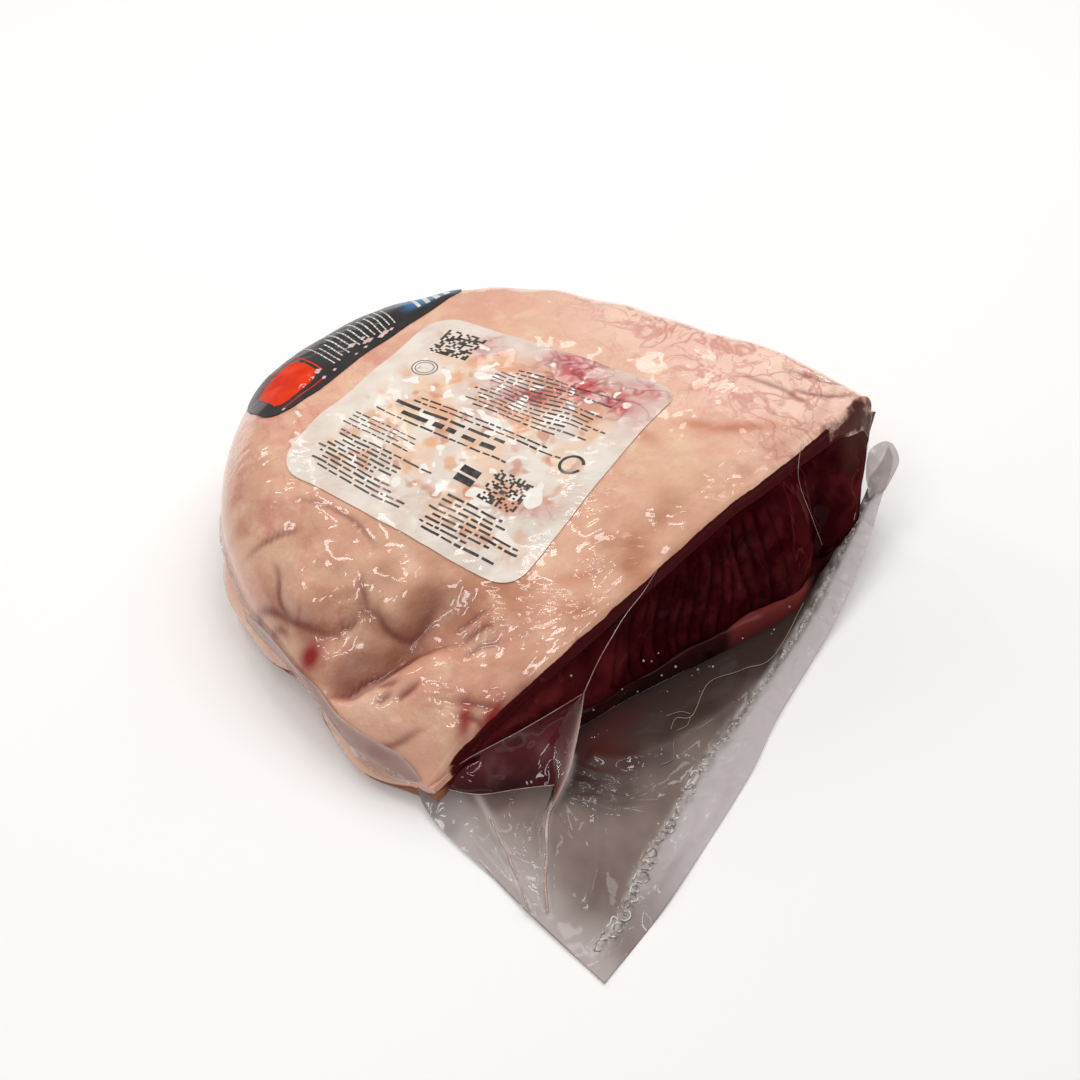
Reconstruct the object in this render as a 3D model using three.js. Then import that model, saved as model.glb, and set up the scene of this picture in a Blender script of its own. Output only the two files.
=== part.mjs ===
// A raw rump-cap joint, trimmed straight at one end and vacuum packed in a clear film bag.
// Millimetres, +Z up. It lies on its lean side with the fat cap on top, the straight cut faces +X
// and the flat, unfilled end of the bag spreads out in front of the cut.
import * as THREE from 'three';

// ---- driving dimensions. "Plan" is the joint seen from above: x towards the cut, y along it.
const PLAN_ORIGIN = [12.3, 1];            // plan point that the finished model is centred on
const CUT_EDGE = [[67, -105], [69, -60], [71, -10], [71, 50], [70, 111]];
const ROUND_EDGE = [
  [70, 111], [40, 109.5], [0, 101], [-38, 90], [-74, 74], [-102, 48], [-117.5, 16], [-120, -20],
  [-114, -53], [-95, -80], [-67, -102], [-34, -113], [8, -116], [42, -114], [67, -105],
];
const EDGE_CORNERS = [0.36, 0.63];        // shares of the round edge that close the plan's grid
const STEPS_ALONG = 50;                   // grid steps along the cut
const STEPS_DEEP = 32;                    // grid steps from the cut to the rounded end
const CROWN = 63;                         // height of the fat cap at its middle
const NEAR_DROP = 44;                     // how far the near corner of the cut lies below the crown
const FAT_THICKNESS = 12;                 // of the cap over the middle of the joint
const FIT_GAP = 0.3;                      // between pieces that touch
const CUT_ROUNDING = 3;                   // radius where the cap meets the cut
const FAN_CENTRE = [-20, 0];              // plan point that the hidden faces close on

// Shares of the round edge, with the width of the cap's shoulder, the height of its rim and the
// height of the line between fat and lean there.
const SHOULDER = [[0, 14], [0.15, 22], [0.35, 29], [0.5, 27], [0.65, 34], [0.8, 44], [0.92, 38], [1, 24]];
const RIM = [[0, 42], [0.15, 37], [0.35, 33], [0.5, 33], [0.65, 29], [0.8, 22], [0.92, 14], [1, 8]];
const LEAN_LINE = [
  [0, 42], [0.06, 36], [0.16, 26], [0.35, 16], [0.5, 14], [0.62, 12], [0.72, 9], [0.8, 6],
  [0.835, 12], [0.85, 13], [0.865, 11], [0.9, 5], [0.96, 4], [1, 5],
];
const WALL_INSET = [[0, 6], [0.15, 8], [0.5, 12], [0.8, 8], [1, 4]];

// Plan y on the cut, with the depth of fat that shows there and how far the lean bulges forward.
const CUT_FAT = [[-107, 2.5], [-60, 2], [60, 2], [85, 4], [112, 14]];
const CUT_BULGE = [[-107, 2], [-60, 5], [-20, 9], [10, 14], [50, 19], [90, 14], [112, 3]];
const BULGE_SHARE = 0.75;                 // share of the way down where the bulge is fullest
const CUT_UNDERCUT = 5;                   // how far the foot of the cut tucks back
const CUT_BLEND = 26;                     // distance over which the cut's form fades into the round wall

// Folds of the cap: plan route, depth at its start and its end, half width.
const FOLDS = [
  { route: [[20, -120], [24, -106], [28, -97], [31, -89], [35, -80], [41, -68]], depth: [8, 1.5], width: 5 },
  { route: [[0, -115], [12, -102], [22, -92], [30, -78], [34, -64]], depth: [4, 3], width: 5.5 },
  { route: [[-22, -100], [-12, -108], [-2, -109], [7, -104], [12, -95], [11, -87], [3, -81]],
    depth: [2.6, 1.2], width: 4 },
  { route: [[11, -88], [18, -89], [24, -86], [26, -78], [24, -67]], depth: [2.2, 1], width: 3.5 },
  { route: [[-45, -108], [-38, -96], [-40, -84]], depth: [1.5, 0.6], width: 5 },
];
// Swellings of the cap: plan centre, radii, height.
const SWELLINGS = [
  [48, -86, 17, 20, 5], [-4, -92, 14, 13, 2.5], [18, -76, 12, 11, 2], [2, -104, 14, 7, 2.5],
  [52, -60, 16, 16, 1.5], [-60, -60, 25, 20, 1.5], [40, 60, 30, 25, 1.5],
];
// Lobes of lean meat on the round wall: share of the edge, share of the way down, their half
// widths, height.
const WALL_LOBES = [
  [0.765, 0.5, 0.05, 0.3, 6], [0.855, 0.55, 0.014, 0.45, -6], [0.93, 0.6, 0.05, 0.3, 5],
  [0.82, 0.45, 0.02, 0.3, 2],
];
// Lobes of lean meat on the cut: plan y, share of the way down, their half widths, height.
const CUT_LOBES = [
  [86, 0.45, 11, 0.4, 2.5], [66, 0.6, 4.5, 0.35, -4], [48, 0.6, 12, 0.35, 2.5], [26, 0.4, 5, 0.4, -2],
  [-48, 0.5, 5, 0.4, -2.5], [-36, 0.5, 6, 0.4, 1.5], [-4, 0.45, 6, 0.4, -1.5],
];
// How far down the lean each row of its wall lies, in the near pocket of the bag and elsewhere.
const POCKET_ROWS = [0.12, 0.25, 0.38, 0.52, 0.78, 1];
const WALL_ROWS = [0.2, 0.4, 0.6, 0.78, 0.9, 1];
const POCKET_END = [-58, -44];            // plan y over which the pocket's rows turn into the wall's
const JUICE_ROW = 3;                      // row, counted from the fat, where the juice starts

// Outer line of the juice on the floor, in plan.
const JUICE_LINE = [
  [-106, 67], [-98, 70], [-92, 73], [-85, 78], [-76, 83.5], [-68, 87], [-61, 85], [-56, 80],
  [-48, 77], [-27, 79.5], [3, 85.5], [32, 91], [50, 94], [66, 92], [85, 87], [103, 80], [113, 73],
];
const JUICE_LIP = 0.8;                    // thickness of the juice at its upper edge

// The empty end of the bag: its outline in plan, its thickness and the lines pressed into it.
const TAIL_ROOT_ENDS = [-108, 106];       // plan y where the bag's ends leave the joint
const TAIL_ROOT_GAP = 1.2;                // between the joint or its juice and the flat film
const TAIL_NEAR_SIDE = [[79, -108], [96, -107], [117, -106], [148, -103]];
const TAIL_MOUTH = [
  [148, -103], [144, -76], [138, -50], [129, -16], [120, 9], [107, 56], [97, 83], [88, 101], [81, 116],
  [74, 122],
];
const TAIL_FAR_SIDE = [[77, 114], [74, 122]];
const TAIL_STEPS = [38, 11];
const TAIL_THICKNESS = 1.4;
const TAIL_ROOT = { extra: 2.4, width: 16 };
const TAIL_LIFT = { height: 30, from: 20, to: 130, power: 1.35 };
const WELD_LINE = [
  [139, -100], [137, -84], [131, -72], [125, -52], [117, -27], [111, 0], [104, 30], [98, 53], [90, 79],
  [83, 100], [79, 116],
];
// Raised lines of the empty end: route, height, half width.
const TAIL_RIDGES = [
  { route: WELD_LINE, height: 1.1, width: 2.6 },
  { route: [[84, -58], [90, -63], [94, -71], [97, -80], [108, -92], [122, -102]], height: 2.8, width: 4.5 },
  { route: [[72, -95], [78, -91], [89, -97], [99, -101], [117, -107]], height: 1.8, width: 4 },
  { route: [[86, -54], [96, -47], [102, -33], [105, -17], [106, 3]], height: 1.8, width: 4 },
];

// The pressed side edge of the bag, along the round wall: share of the edge, height.
const SEAM_HEIGHT = [
  [0.03, 27], [0.15, 24], [0.35, 22], [0.5, 21], [0.62, 22], [0.72, 25], [0.8, 26], [0.86, 23],
  [0.9, 18], [0.94, 13], [0.97, 9],
];
const SEAM = { from: 0.03, to: 0.968, steps: 62, width: 2.6, root: 1.4, tip: 0.7, gap: 0.9 };

// Printed sheets under the film.
const LABEL_CORNERS = [[-49, -83], [41, -48], [21, 53], [-80, 14]];
const LABEL_SIZE = [92, 100];             // along and across, for the rounding of its corners
const LABEL_ROUNDING = 9;
const STICKER_INNER = [[-67, -73], [-70, -55], [-76, -33], [-82, -9], [-86, 12], [-89, 36]];
const STICKER_OUTER = [[-98, -71], [-110, -50], [-117, -20], [-114, 14], [-103, 38]];
const STICKER_SIZE = [104, 44];
const STICKER_ROUNDING = 16;
const SHEET = { gap: 0.7, thickness: 0.6 };

// ---- small helpers
const mix = (a, b, t) => a + (b - a) * t;
const clamp = THREE.MathUtils.clamp;
const smooth = (a, b, x) => THREE.MathUtils.smoothstep(x, a, b);
const bell = (x) => Math.exp(-x * x);
const offset = (p, q) => [p[0] - q[0], p[1] - q[1]];

// Straight-line reading of a list of [position, value] pairs.
function read(pairs, x) {
  let k = 1;
  while (k < pairs.length - 1 && pairs[k][0] < x) k += 1;
  const [x0, y0] = pairs[k - 1];
  const [x1, y1] = pairs[k];
  return mix(y0, y1, clamp((x - x0) / (x1 - x0), 0, 1));
}

function curve(points) {
  const spline = new THREE.SplineCurve(points.map(([x, y]) => new THREE.Vector2(x, y)));
  return (t) => spline.getPoint(clamp(t, 0, 1)).toArray();
}

function polyline(points, steps) {
  const at = curve(points);
  return Array.from({ length: steps + 1 }, (_, k) => at(k / steps));
}

// Distance from a plan point to a polyline, and the share of the line where it is nearest.
function nearest(x, y, line) {
  let best = { distance: Infinity, share: 0 };
  for (let k = 0; k + 1 < line.length; k += 1) {
    const [ax, ay] = line[k];
    const [bx, by] = offset(line[k + 1], line[k]);
    const t = clamp(((x - ax) * bx + (y - ay) * by) / (bx * bx + by * by), 0, 1);
    const distance = Math.hypot(ax + t * bx - x, ay + t * by - y);
    if (distance < best.distance) best = { distance, share: (k + t) / (line.length - 1) };
  }
  return best;
}

// A point of the patch between four border curves that meet at their ends.
function coons(front, back, left, right, u, v) {
  const [f, b, l, r] = [front(u), back(u), left(v), right(v)];
  const corners = [front(0), front(1), back(0), back(1)];
  return [0, 1].map((i) => {
    const sides = (1 - v) * f[i] + v * b[i] + (1 - u) * l[i] + u * r[i];
    const [c00, c10, c01, c11] = corners.map((c) => c[i]);
    return sides - (1 - v) * mix(c00, c10, u) - v * mix(c01, c11, u);
  });
}

// Steps from 0 to 1 that crowd towards both ends.
const crowd = (k, steps, strength) => {
  const u = k / steps;
  return u - (strength * Math.sin(2 * Math.PI * u)) / (2 * Math.PI);
};

const range = (from, count) => Array.from({ length: count }, (_, k) => from + k);

// Triangles between two rows of the same length. Row b lies below row a, or inside it, and both
// run the same way round.
function strip(a, b, closed = true) {
  const faces = [];
  const last = closed ? a.length : a.length - 1;
  for (let i = 0; i < last; i += 1) {
    const j = (i + 1) % a.length;
    faces.push([a[i], b[i], b[j]], [a[i], b[j], a[j]]);
  }
  return faces;
}

const flip = (faces) => faces.map(([a, b, c]) => [a, c, b]);
const fan = (ring, centre) => ring.map((p, i) => [p, centre, ring[(i + 1) % ring.length]]);

function solid(name, points, faces, material) {
  const geometry = new THREE.BufferGeometry();
  geometry.setAttribute('position', new THREE.Float32BufferAttribute(points.flat(), 3));
  geometry.setIndex(faces.flat());
  geometry.computeVertexNormals();
  const mesh = new THREE.Mesh(geometry, material);
  mesh.name = name;
  return mesh;
}

const finish = (color, roughness) => new THREE.MeshStandardMaterial({ color, roughness, metalness: 0 });

// ---- the form of the joint
const CUT_LINE = polyline(CUT_EDGE, 60);
const ROUND_LINE = polyline(ROUND_EDGE, 240);
const FOLD_LINES = FOLDS.map((fold) => ({ ...fold, line: polyline(fold.route, 24) }));

// Height of the cap before its edges round off: an arch that falls away to the near corner.
function crownHeight(x, y) {
  const arch = CROWN - 6.5 * ((x + 10) / 100) ** 2 - (Math.max(y - 20, 0) / 100) ** 2;
  const farRise = 7 * smooth(40, 115, y) * smooth(-60, 60, x);
  const nearFall = NEAR_DROP * clamp((30 - y) / 136, 0, 1) ** 1.25 * smooth(-70, 75, x);
  return arch + farRise - nearFall;
}

// Folds, swellings and slow unevenness of the cap.
function capRelief(x, y) {
  let relief = 0;
  for (const { line, depth, width } of FOLD_LINES) {
    const { distance, share } = nearest(x, y, line);
    relief -= mix(depth[0], depth[1], share) * bell(distance / width);
  }
  for (const [cx, cy, rx, ry, height] of SWELLINGS) {
    relief += height * bell((x - cx) / rx) * bell((y - cy) / ry);
  }
  relief += 0.7 * Math.sin(x / 11 + 1.3 * Math.sin(y / 17)) * Math.sin(y / 13 + 0.7);
  relief += 0.4 * Math.sin(x / 5.3 + y / 9.1) * Math.sin(y / 6.7 - x / 15);
  return relief;
}

// The cap's height over a plan point: without its relief, and with it.
function capHeight(x, y) {
  const cut = nearest(x, y, CUT_LINE).distance;
  const { distance: round, share } = nearest(x, y, ROUND_LINE);
  const crown = crownHeight(x, y);
  const byCut = clamp(1 - cut / CUT_ROUNDING, 0, 1);
  const byRound = clamp(1 - round / read(SHOULDER, share), 0, 1);
  const q = Math.min(1, Math.cbrt(byCut ** 3 + byRound ** 3));
  const cutShare = smooth(0, 1, byCut / (byCut + byRound + 1e-6));
  const rim = Math.min(mix(read(RIM, share), crown - CUT_ROUNDING, cutShare), crown - 1);
  const bare = mix(rim, crown, Math.sqrt(1 - q * q));
  const inside = smooth(0, 10, Math.min(cut + 4, round));
  return { bare, full: bare + capRelief(x, y) * inside };
}

// One point of the joint's rim, with what the wall under it needs.
function rimPoint(x, y, z, normal) {
  const cut = nearest(x, y, CUT_LINE).distance;
  const { share } = nearest(x, y, ROUND_LINE);
  const byWall = smooth(0, 20, cut);
  const cutSplit = Math.min(z - read(CUT_FAT, y), z - 1);
  const wallSplit = Math.min(read(LEAN_LINE, share), z - 2);
  const split = mix(cutSplit, wallSplit, byWall);
  return { x, y, z, normal, share, split, onCut: 1 - smooth(0, CUT_BLEND, cut) };
}

// The wall under a rim point, at a share of the way from the rim to the floor.
function wallPoint(rim, down) {
  const fullness = Math.sin((Math.PI / 2) * Math.min(down / BULGE_SHARE, 1));
  let forward = read(CUT_BULGE, rim.y) * fullness - CUT_UNDERCUT * smooth(0.8, 1, down);
  for (const [y, at, wy, wd, height] of CUT_LOBES) {
    forward += height * bell((rim.y - y) / wy) * bell((down - at) / wd) * smooth(0, 0.2, down);
  }
  let inset = read(WALL_INSET, rim.share) * (1 - Math.sqrt(1 - down * down));
  for (const [share, at, ws, wd, height] of WALL_LOBES) {
    inset -= height * bell((rim.share - share) / ws) * bell((down - at) / wd) * smooth(0, 0.2, down);
  }
  const back = (1 - rim.onCut) * inset;
  return [
    rim.x + rim.onCut * forward - back * rim.normal[0],
    rim.y - back * rim.normal[1],
    rim.z * (1 - down),
  ];
}

// Plan grid of the whole joint, from the near end of the cut.
function planGrid() {
  const cut = curve(CUT_EDGE);
  const round = curve(ROUND_EDGE);
  const [q1, q2] = EDGE_CORNERS;
  const back = (u) => round(mix(q2, q1, u));
  const near = (v) => round(mix(1, q2, v));
  const far = (v) => round(q1 * v);
  return range(0, STEPS_ALONG + 1).map((i) => range(0, STEPS_DEEP + 1).map((j) => {
    const [u, v] = [crowd(i, STEPS_ALONG, 0.5), crowd(j, STEPS_DEEP, 0.8)];
    return coons(cut, back, near, far, u, v);
  }));
}

// Grid numbers of the rim, anticlockwise from the near end of the cut.
function rimNumbers() {
  const id = (i, j) => i * (STEPS_DEEP + 1) + j;
  return [
    ...range(0, STEPS_ALONG).map((i) => id(i, 0)),
    ...range(0, STEPS_DEEP).map((j) => id(STEPS_ALONG, j)),
    ...range(1, STEPS_ALONG).map((i) => id(i, STEPS_DEEP)).reverse(),
    ...range(1, STEPS_DEEP).map((j) => id(0, j)).reverse(),
  ];
}

function rimNormal(points, i) {
  const count = points.length;
  const [dx, dy] = offset(points[(i + 1) % count], points[(i + count - 1) % count]);
  const length = Math.hypot(dx, dy);
  return [dy / length, -dx / length];
}

// Rows of hidden points where fat lies on lean, from the wall to the middle.
const SEAM_ROWS = [0.94, 0.86, 0.45];
function insideRows(rims, split) {
  return SEAM_ROWS.map((scale) => split.map((point, i) => {
    const x = mix(FAN_CENTRE[0], point[0], scale);
    const y = mix(FAN_CENTRE[1], point[1], scale);
    const inward = Math.hypot(point[0] - x, point[1] - y);
    const { onCut } = rims[i];
    const thickness = FAT_THICKNESS - 6 * onCut * (1 - smooth(5, 30, inward));
    const start = 7 * (1 - onCut);
    const rise = smooth(start, start + 14 - 6 * onCut, inward);
    const level = Math.max(capHeight(x, y).bare - thickness, point[2] + 0.5);
    return [x, y, mix(point[2], level, rise)];
  }));
}

const shareDown = (rim, row) => {
  const pocket = 1 - smooth(POCKET_END[0], POCKET_END[1], rim.y);
  const rows = mix(WALL_ROWS[row], POCKET_ROWS[row], pocket * rim.onCut);
  const splitDown = 1 - rim.split / rim.z;
  return mix(splitDown, 1, rows);
};

// Everything that the fat, the lean and the juice share.
function jointRows() {
  const grid = planGrid();
  const top = grid.flat().map(([x, y]) => [x, y, capHeight(x, y).full]);
  const loop = rimNumbers();
  const rimPoints = loop.map((k) => top[k]);
  const rims = rimPoints.map(([x, y, z], i) => rimPoint(x, y, z, rimNormal(rimPoints, i)));
  const fatWall = [0.5, 1].map((t) => rims.map((rim) => wallPoint(rim, t * (1 - rim.split / rim.z))));
  const inside = insideRows(rims, fatWall[1]);
  const leanWall = WALL_ROWS.map((_, row) => rims.map((rim) => wallPoint(rim, shareDown(rim, row))));
  const [cx, cy] = FAN_CENTRE;
  const centre = [cx, cy, capHeight(cx, cy).bare - FAT_THICKNESS];
  return { top, loop, rims, fatWall, inside, leanWall, centre };
}

function fatCap({ top, loop, fatWall, inside, centre }) {
  const points = [...top];
  const faces = [];
  const id = (i, j) => i * (STEPS_DEEP + 1) + j;
  for (let i = 0; i < STEPS_ALONG; i += 1) {
    for (let j = 0; j < STEPS_DEEP; j += 1) {
      const [a, b, c, d] = [id(i, j), id(i + 1, j), id(i + 1, j + 1), id(i, j + 1)];
      faces.push([a, b, c], [a, c, d]);
    }
  }
  let ring = loop;
  for (const row of [...fatWall, ...inside]) {
    const next = range(points.length, row.length);
    points.push(...row);
    faces.push(...strip(ring, next));
    ring = next;
  }
  faces.push(...fan(ring, points.length));
  points.push(centre);
  return solid('fat_cap', points, faces, finish(0xe8c4a6, 0.35));
}

function leanMeat({ fatWall, inside, leanWall, centre }) {
  const lower = ([x, y, z]) => [x, y, z - FIT_GAP];
  const edge = fatWall[1].map(lower);
  const points = [...edge];
  const faces = [];
  const first = range(0, edge.length);
  let ring = first;
  for (const row of inside) {
    const next = range(points.length, row.length);
    points.push(...row.map(lower));
    faces.push(...flip(strip(ring, next)));
    ring = next;
  }
  faces.push(...flip(fan(ring, points.length)));
  points.push(lower(centre));
  ring = first;
  for (const row of leanWall) {
    const next = range(points.length, row.length);
    points.push(...row);
    faces.push(...strip(ring, next));
    ring = next;
  }
  faces.push(...fan(ring, points.length));
  points.push([...FAN_CENTRE, 0]);
  return solid('muscle', points, faces, finish(0x3c1016, 0.4));
}

// The juice that lies between the foot of the cut and the film.
function juice({ leanWall }) {
  const sections = range(0, STEPS_ALONG + 1).map((i) => {
    const inner = leanWall.slice(JUICE_ROW).map((row) => [row[i][0] + FIT_GAP, row[i][1], row[i][2]]);
    const [topX, y, topZ] = inner[0];
    const foot = inner[inner.length - 1];
    const outerX = Math.max(read(JUICE_LINE, y), foot[0] + 1.5);
    const shoulder = Math.max(mix(topX + JUICE_LIP, outerX, 0.6), inner[1][0] + JUICE_LIP);
    return [...inner, [outerX, y, 0], [shoulder, y, topZ * 0.5], [topX + JUICE_LIP, y, topZ]];
  });
  const sides = sections[0].length;
  const points = sections.flat();
  const faces = [];
  for (let i = 0; i < STEPS_ALONG; i += 1) {
    faces.push(...strip(range(i * sides, sides), range((i + 1) * sides, sides)));
  }
  const near = range(0, sides);
  const far = range(STEPS_ALONG * sides, sides);
  for (let k = 1; k + 1 < sides; k += 1) {
    faces.push([near[0], near[k], near[k + 1]], [far[0], far[k + 1], far[k]]);
  }
  return solid('purge', points, faces, finish(0x5a0a12, 0.15));
}

// ---- the bag
// A closed sheet from a grid of top points and the thickness under each.
function gridSheet(name, grid, thickness, material) {
  const rows = grid.length;
  const columns = grid[0].length;
  const id = (i, j) => i * columns + j;
  const top = grid.flat();
  const count = top.length;
  const bottom = top.map(([x, y, z], k) => [x, y, z - thickness[k]]);
  const faces = [];
  for (let i = 0; i + 1 < rows; i += 1) {
    for (let j = 0; j + 1 < columns; j += 1) {
      const [a, b, c, d] = [id(i, j), id(i + 1, j), id(i + 1, j + 1), id(i, j + 1)];
      const sheet = [[a, c, b], [a, d, c]];
      faces.push(...sheet, ...flip(sheet).map((face) => face.map((k) => k + count)));
    }
  }
  const border = [
    ...range(0, rows - 1).map((i) => id(i, 0)),
    ...range(0, columns - 1).map((j) => id(rows - 1, j)),
    ...range(1, rows - 1).map((i) => id(i, columns - 1)).reverse(),
    ...range(1, columns - 1).map((j) => id(0, j)).reverse(),
  ];
  faces.push(...flip(strip(border, border.map((k) => k + count))));
  return solid(name, [...top, ...bottom], faces, material);
}

// Furthest that the cut's lean or the juice reaches at a plan y.
function cutReach(y) {
  const cutX = curve(CUT_EDGE)(clamp((y + 105) / 217, 0, 1))[0];
  const rim = { x: cutX, y, z: 50, onCut: 1, share: 0, normal: [1, 0] };
  const lean = range(4, 7).map((k) => wallPoint(rim, k / 10)[0]);
  return Math.max(read(JUICE_LINE, y), ...lean) + TAIL_ROOT_GAP;
}

function bagTail() {
  const root = (u) => {
    const y = mix(...TAIL_ROOT_ENDS, u);
    return [cutReach(y), y];
  };
  const grid = [];
  const thickness = [];
  const ridges = TAIL_RIDGES.map((ridge) => ({ ...ridge, line: polyline(ridge.route, 30) }));
  const nearSide = curve([root(0), ...TAIL_NEAR_SIDE]);
  const farSide = curve([root(1), ...TAIL_FAR_SIDE]);
  const borders = [root, curve(TAIL_MOUTH), nearSide, farSide];
  for (const i of range(0, TAIL_STEPS[0] + 1)) {
    const row = [];
    for (const j of range(0, TAIL_STEPS[1] + 1)) {
      const [u, v] = [i / TAIL_STEPS[0], j / TAIL_STEPS[1]];
      const [x, y] = coons(...borders, u, v);
      const inward = x - cutReach(clamp(y, ...TAIL_ROOT_ENDS));
      const rise = smooth(TAIL_LIFT.from, TAIL_LIFT.to, y) ** TAIL_LIFT.power;
      const wave = 0.5 + 0.5 * Math.sin(x / 9 + 1.6 * Math.sin(y / 21)) * Math.sin(y / 15 + 1);
      let thick = TAIL_THICKNESS + TAIL_ROOT.extra * (1 - smooth(0, TAIL_ROOT.width, inward));
      for (const { line, height, width } of ridges) {
        thick += height * bell(nearest(x, y, line).distance / width);
      }
      row.push([x, y, TAIL_LIFT.height * rise + wave * smooth(2, 12, inward) + thick]);
      thickness.push(thick);
    }
    grid.push(row);
  }
  return gridSheet('bag_tail', grid, thickness, finish(0x8d8580, 0.15));
}

// The bag's pressed edge: a thin fin round the wall, from the far end of the cut to the near end.
function bagSeam() {
  const edge = curve(ROUND_EDGE);
  const sections = range(0, SEAM.steps + 1).map((k) => {
    const t = mix(SEAM.from, SEAM.to, k / SEAM.steps);
    const [x, y] = edge(t);
    const [dx, dy] = offset(edge(t + 0.005), edge(t - 0.005));
    const normal = [dy / Math.hypot(dx, dy), -dx / Math.hypot(dx, dy)];
    const rim = rimPoint(x, y, capHeight(x, y).full, normal);
    const height = Math.min(read(SEAM_HEIGHT, t), rim.z - 1);
    const [wx, wy] = wallPoint(rim, 1 - height / rim.z);
    const wavy = SEAM.width + 0.6 * Math.sin(k * 1.7);
    const place = (out, up) => [wx + normal[0] * out, wy + normal[1] * out, height + up];
    const droop = 0.8 * Math.sin(k * 0.9) - 1;
    return [
      place(SEAM.gap, SEAM.root / 2), place(SEAM.gap + wavy, droop + SEAM.tip / 2),
      place(SEAM.gap + wavy, droop - SEAM.tip / 2), place(SEAM.gap, -SEAM.root / 2),
    ];
  });
  const points = sections.flat();
  const faces = [];
  for (let k = 0; k < SEAM.steps; k += 1) {
    faces.push(...flip(strip(range(4 * k, 4), range(4 * k + 4, 4))));
  }
  const last = 4 * SEAM.steps;
  faces.push([0, 2, 1], [0, 3, 2], [last, last + 1, last + 2], [last, last + 2, last + 3]);
  return solid('bag_seam', points, faces, finish(0xb9aaa0, 0.2));
}

// ---- the printed sheets
// Outline of a rounded rectangle, as shares of its sides.
function roundedOutline([width, depth], radius, cornerSteps, sideSteps) {
  const outline = [];
  const corners = [[1, 1, 0], [0, 1, 1], [0, 0, 2], [1, 0, 3]];
  for (const [cx, cy, quarter] of corners) {
    for (const k of range(0, cornerSteps + 1)) {
      const angle = (Math.PI / 2) * (quarter + k / cornerSteps);
      const x = mix(radius, width - radius, cx) + radius * Math.cos(angle);
      const y = mix(radius, depth - radius, cy) + radius * Math.sin(angle);
      outline.push([x / width, y / depth]);
    }
    const [ax, ay] = outline[outline.length - 1];
    const turn = (Math.PI / 2) * (quarter + 1);
    const length = quarter % 2 ? 1 - (2 * radius) / depth : 1 - (2 * radius) / width;
    for (const k of range(1, sideSteps - 1)) {
      const step = (length * k) / sideSteps;
      outline.push([ax - step * Math.sin(turn), ay + step * Math.cos(turn)]);
    }
  }
  return outline;
}

// A point at a height over the cap, along the cap's own slope.
function overCap(x, y, lift) {
  const step = 0.5;
  const z = capHeight(x, y).full;
  const slopeX = (capHeight(x + step, y).full - capHeight(x - step, y).full) / (2 * step);
  const slopeY = (capHeight(x, y + step).full - capHeight(x, y - step).full) / (2 * step);
  const steep = lift / Math.hypot(slopeX, slopeY, 1);
  return [x - slopeX * steep, y - slopeY * steep, z + steep];
}

// A thin sheet that follows the cap: place turns shares of its sides into a plan point.
function capSheet(name, outline, rings, place, material) {
  const faces = [];
  const layer = (lift) => {
    const points = rings.flatMap((scale) => outline.map(([a, b]) => {
      const [x, y] = place(mix(0.5, a, scale), mix(0.5, b, scale));
      return overCap(x, y, lift);
    }));
    const [x, y] = place(0.5, 0.5);
    return [...points, overCap(x, y, lift)];
  };
  const top = layer(SHEET.gap + SHEET.thickness);
  const bottom = layer(SHEET.gap);
  const ring = (k) => range(k * outline.length, outline.length);
  for (let k = 0; k + 1 < rings.length; k += 1) {
    faces.push(...flip(strip(ring(k), ring(k + 1))));
  }
  faces.push(...flip(fan(ring(rings.length - 1), top.length - 1)));
  const under = flip(faces).map((face) => face.map((k) => k + top.length));
  const rim = strip(ring(0), ring(0).map((k) => k + top.length));
  return solid(name, [...top, ...bottom], [...faces, ...under, ...rim], material);
}

function label() {
  const [c00, c10, c11, c01] = LABEL_CORNERS;
  const place = (a, b) => [0, 1].map((i) => mix(mix(c00[i], c10[i], a), mix(c01[i], c11[i], a), b));
  const outline = roundedOutline(LABEL_SIZE, LABEL_ROUNDING, 3, 8);
  return capSheet('label', outline, [1, 0.82, 0.62, 0.4, 0.2], place, finish(0xeadbc6, 0.5));
}

function sticker() {
  const inner = curve(STICKER_INNER);
  const outer = curve(STICKER_OUTER);
  const place = (a, b) => [0, 1].map((i) => mix(inner(a)[i], outer(a)[i], b));
  const outline = roundedOutline(STICKER_SIZE, STICKER_ROUNDING, 4, 8);
  return capSheet('sticker', outline, [1, 0.85, 0.68, 0.48, 0.25], place, finish(0x2a2526, 0.45));
}

// ---- the whole
const joint = jointRows();
const picanha = new THREE.Group();
picanha.add(fatCap(joint));
picanha.add(leanMeat(joint));
picanha.add(juice(joint));
picanha.add(bagTail());
picanha.add(bagSeam());
picanha.add(label());
picanha.add(sticker());
picanha.position.set(-PLAN_ORIGIN[0], -PLAN_ORIGIN[1], 0);

export default picanha;
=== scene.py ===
"""A raw rump cap with its fat cap on top, vacuum packed in clear film, on a plain pale floor."""

import math

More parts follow.
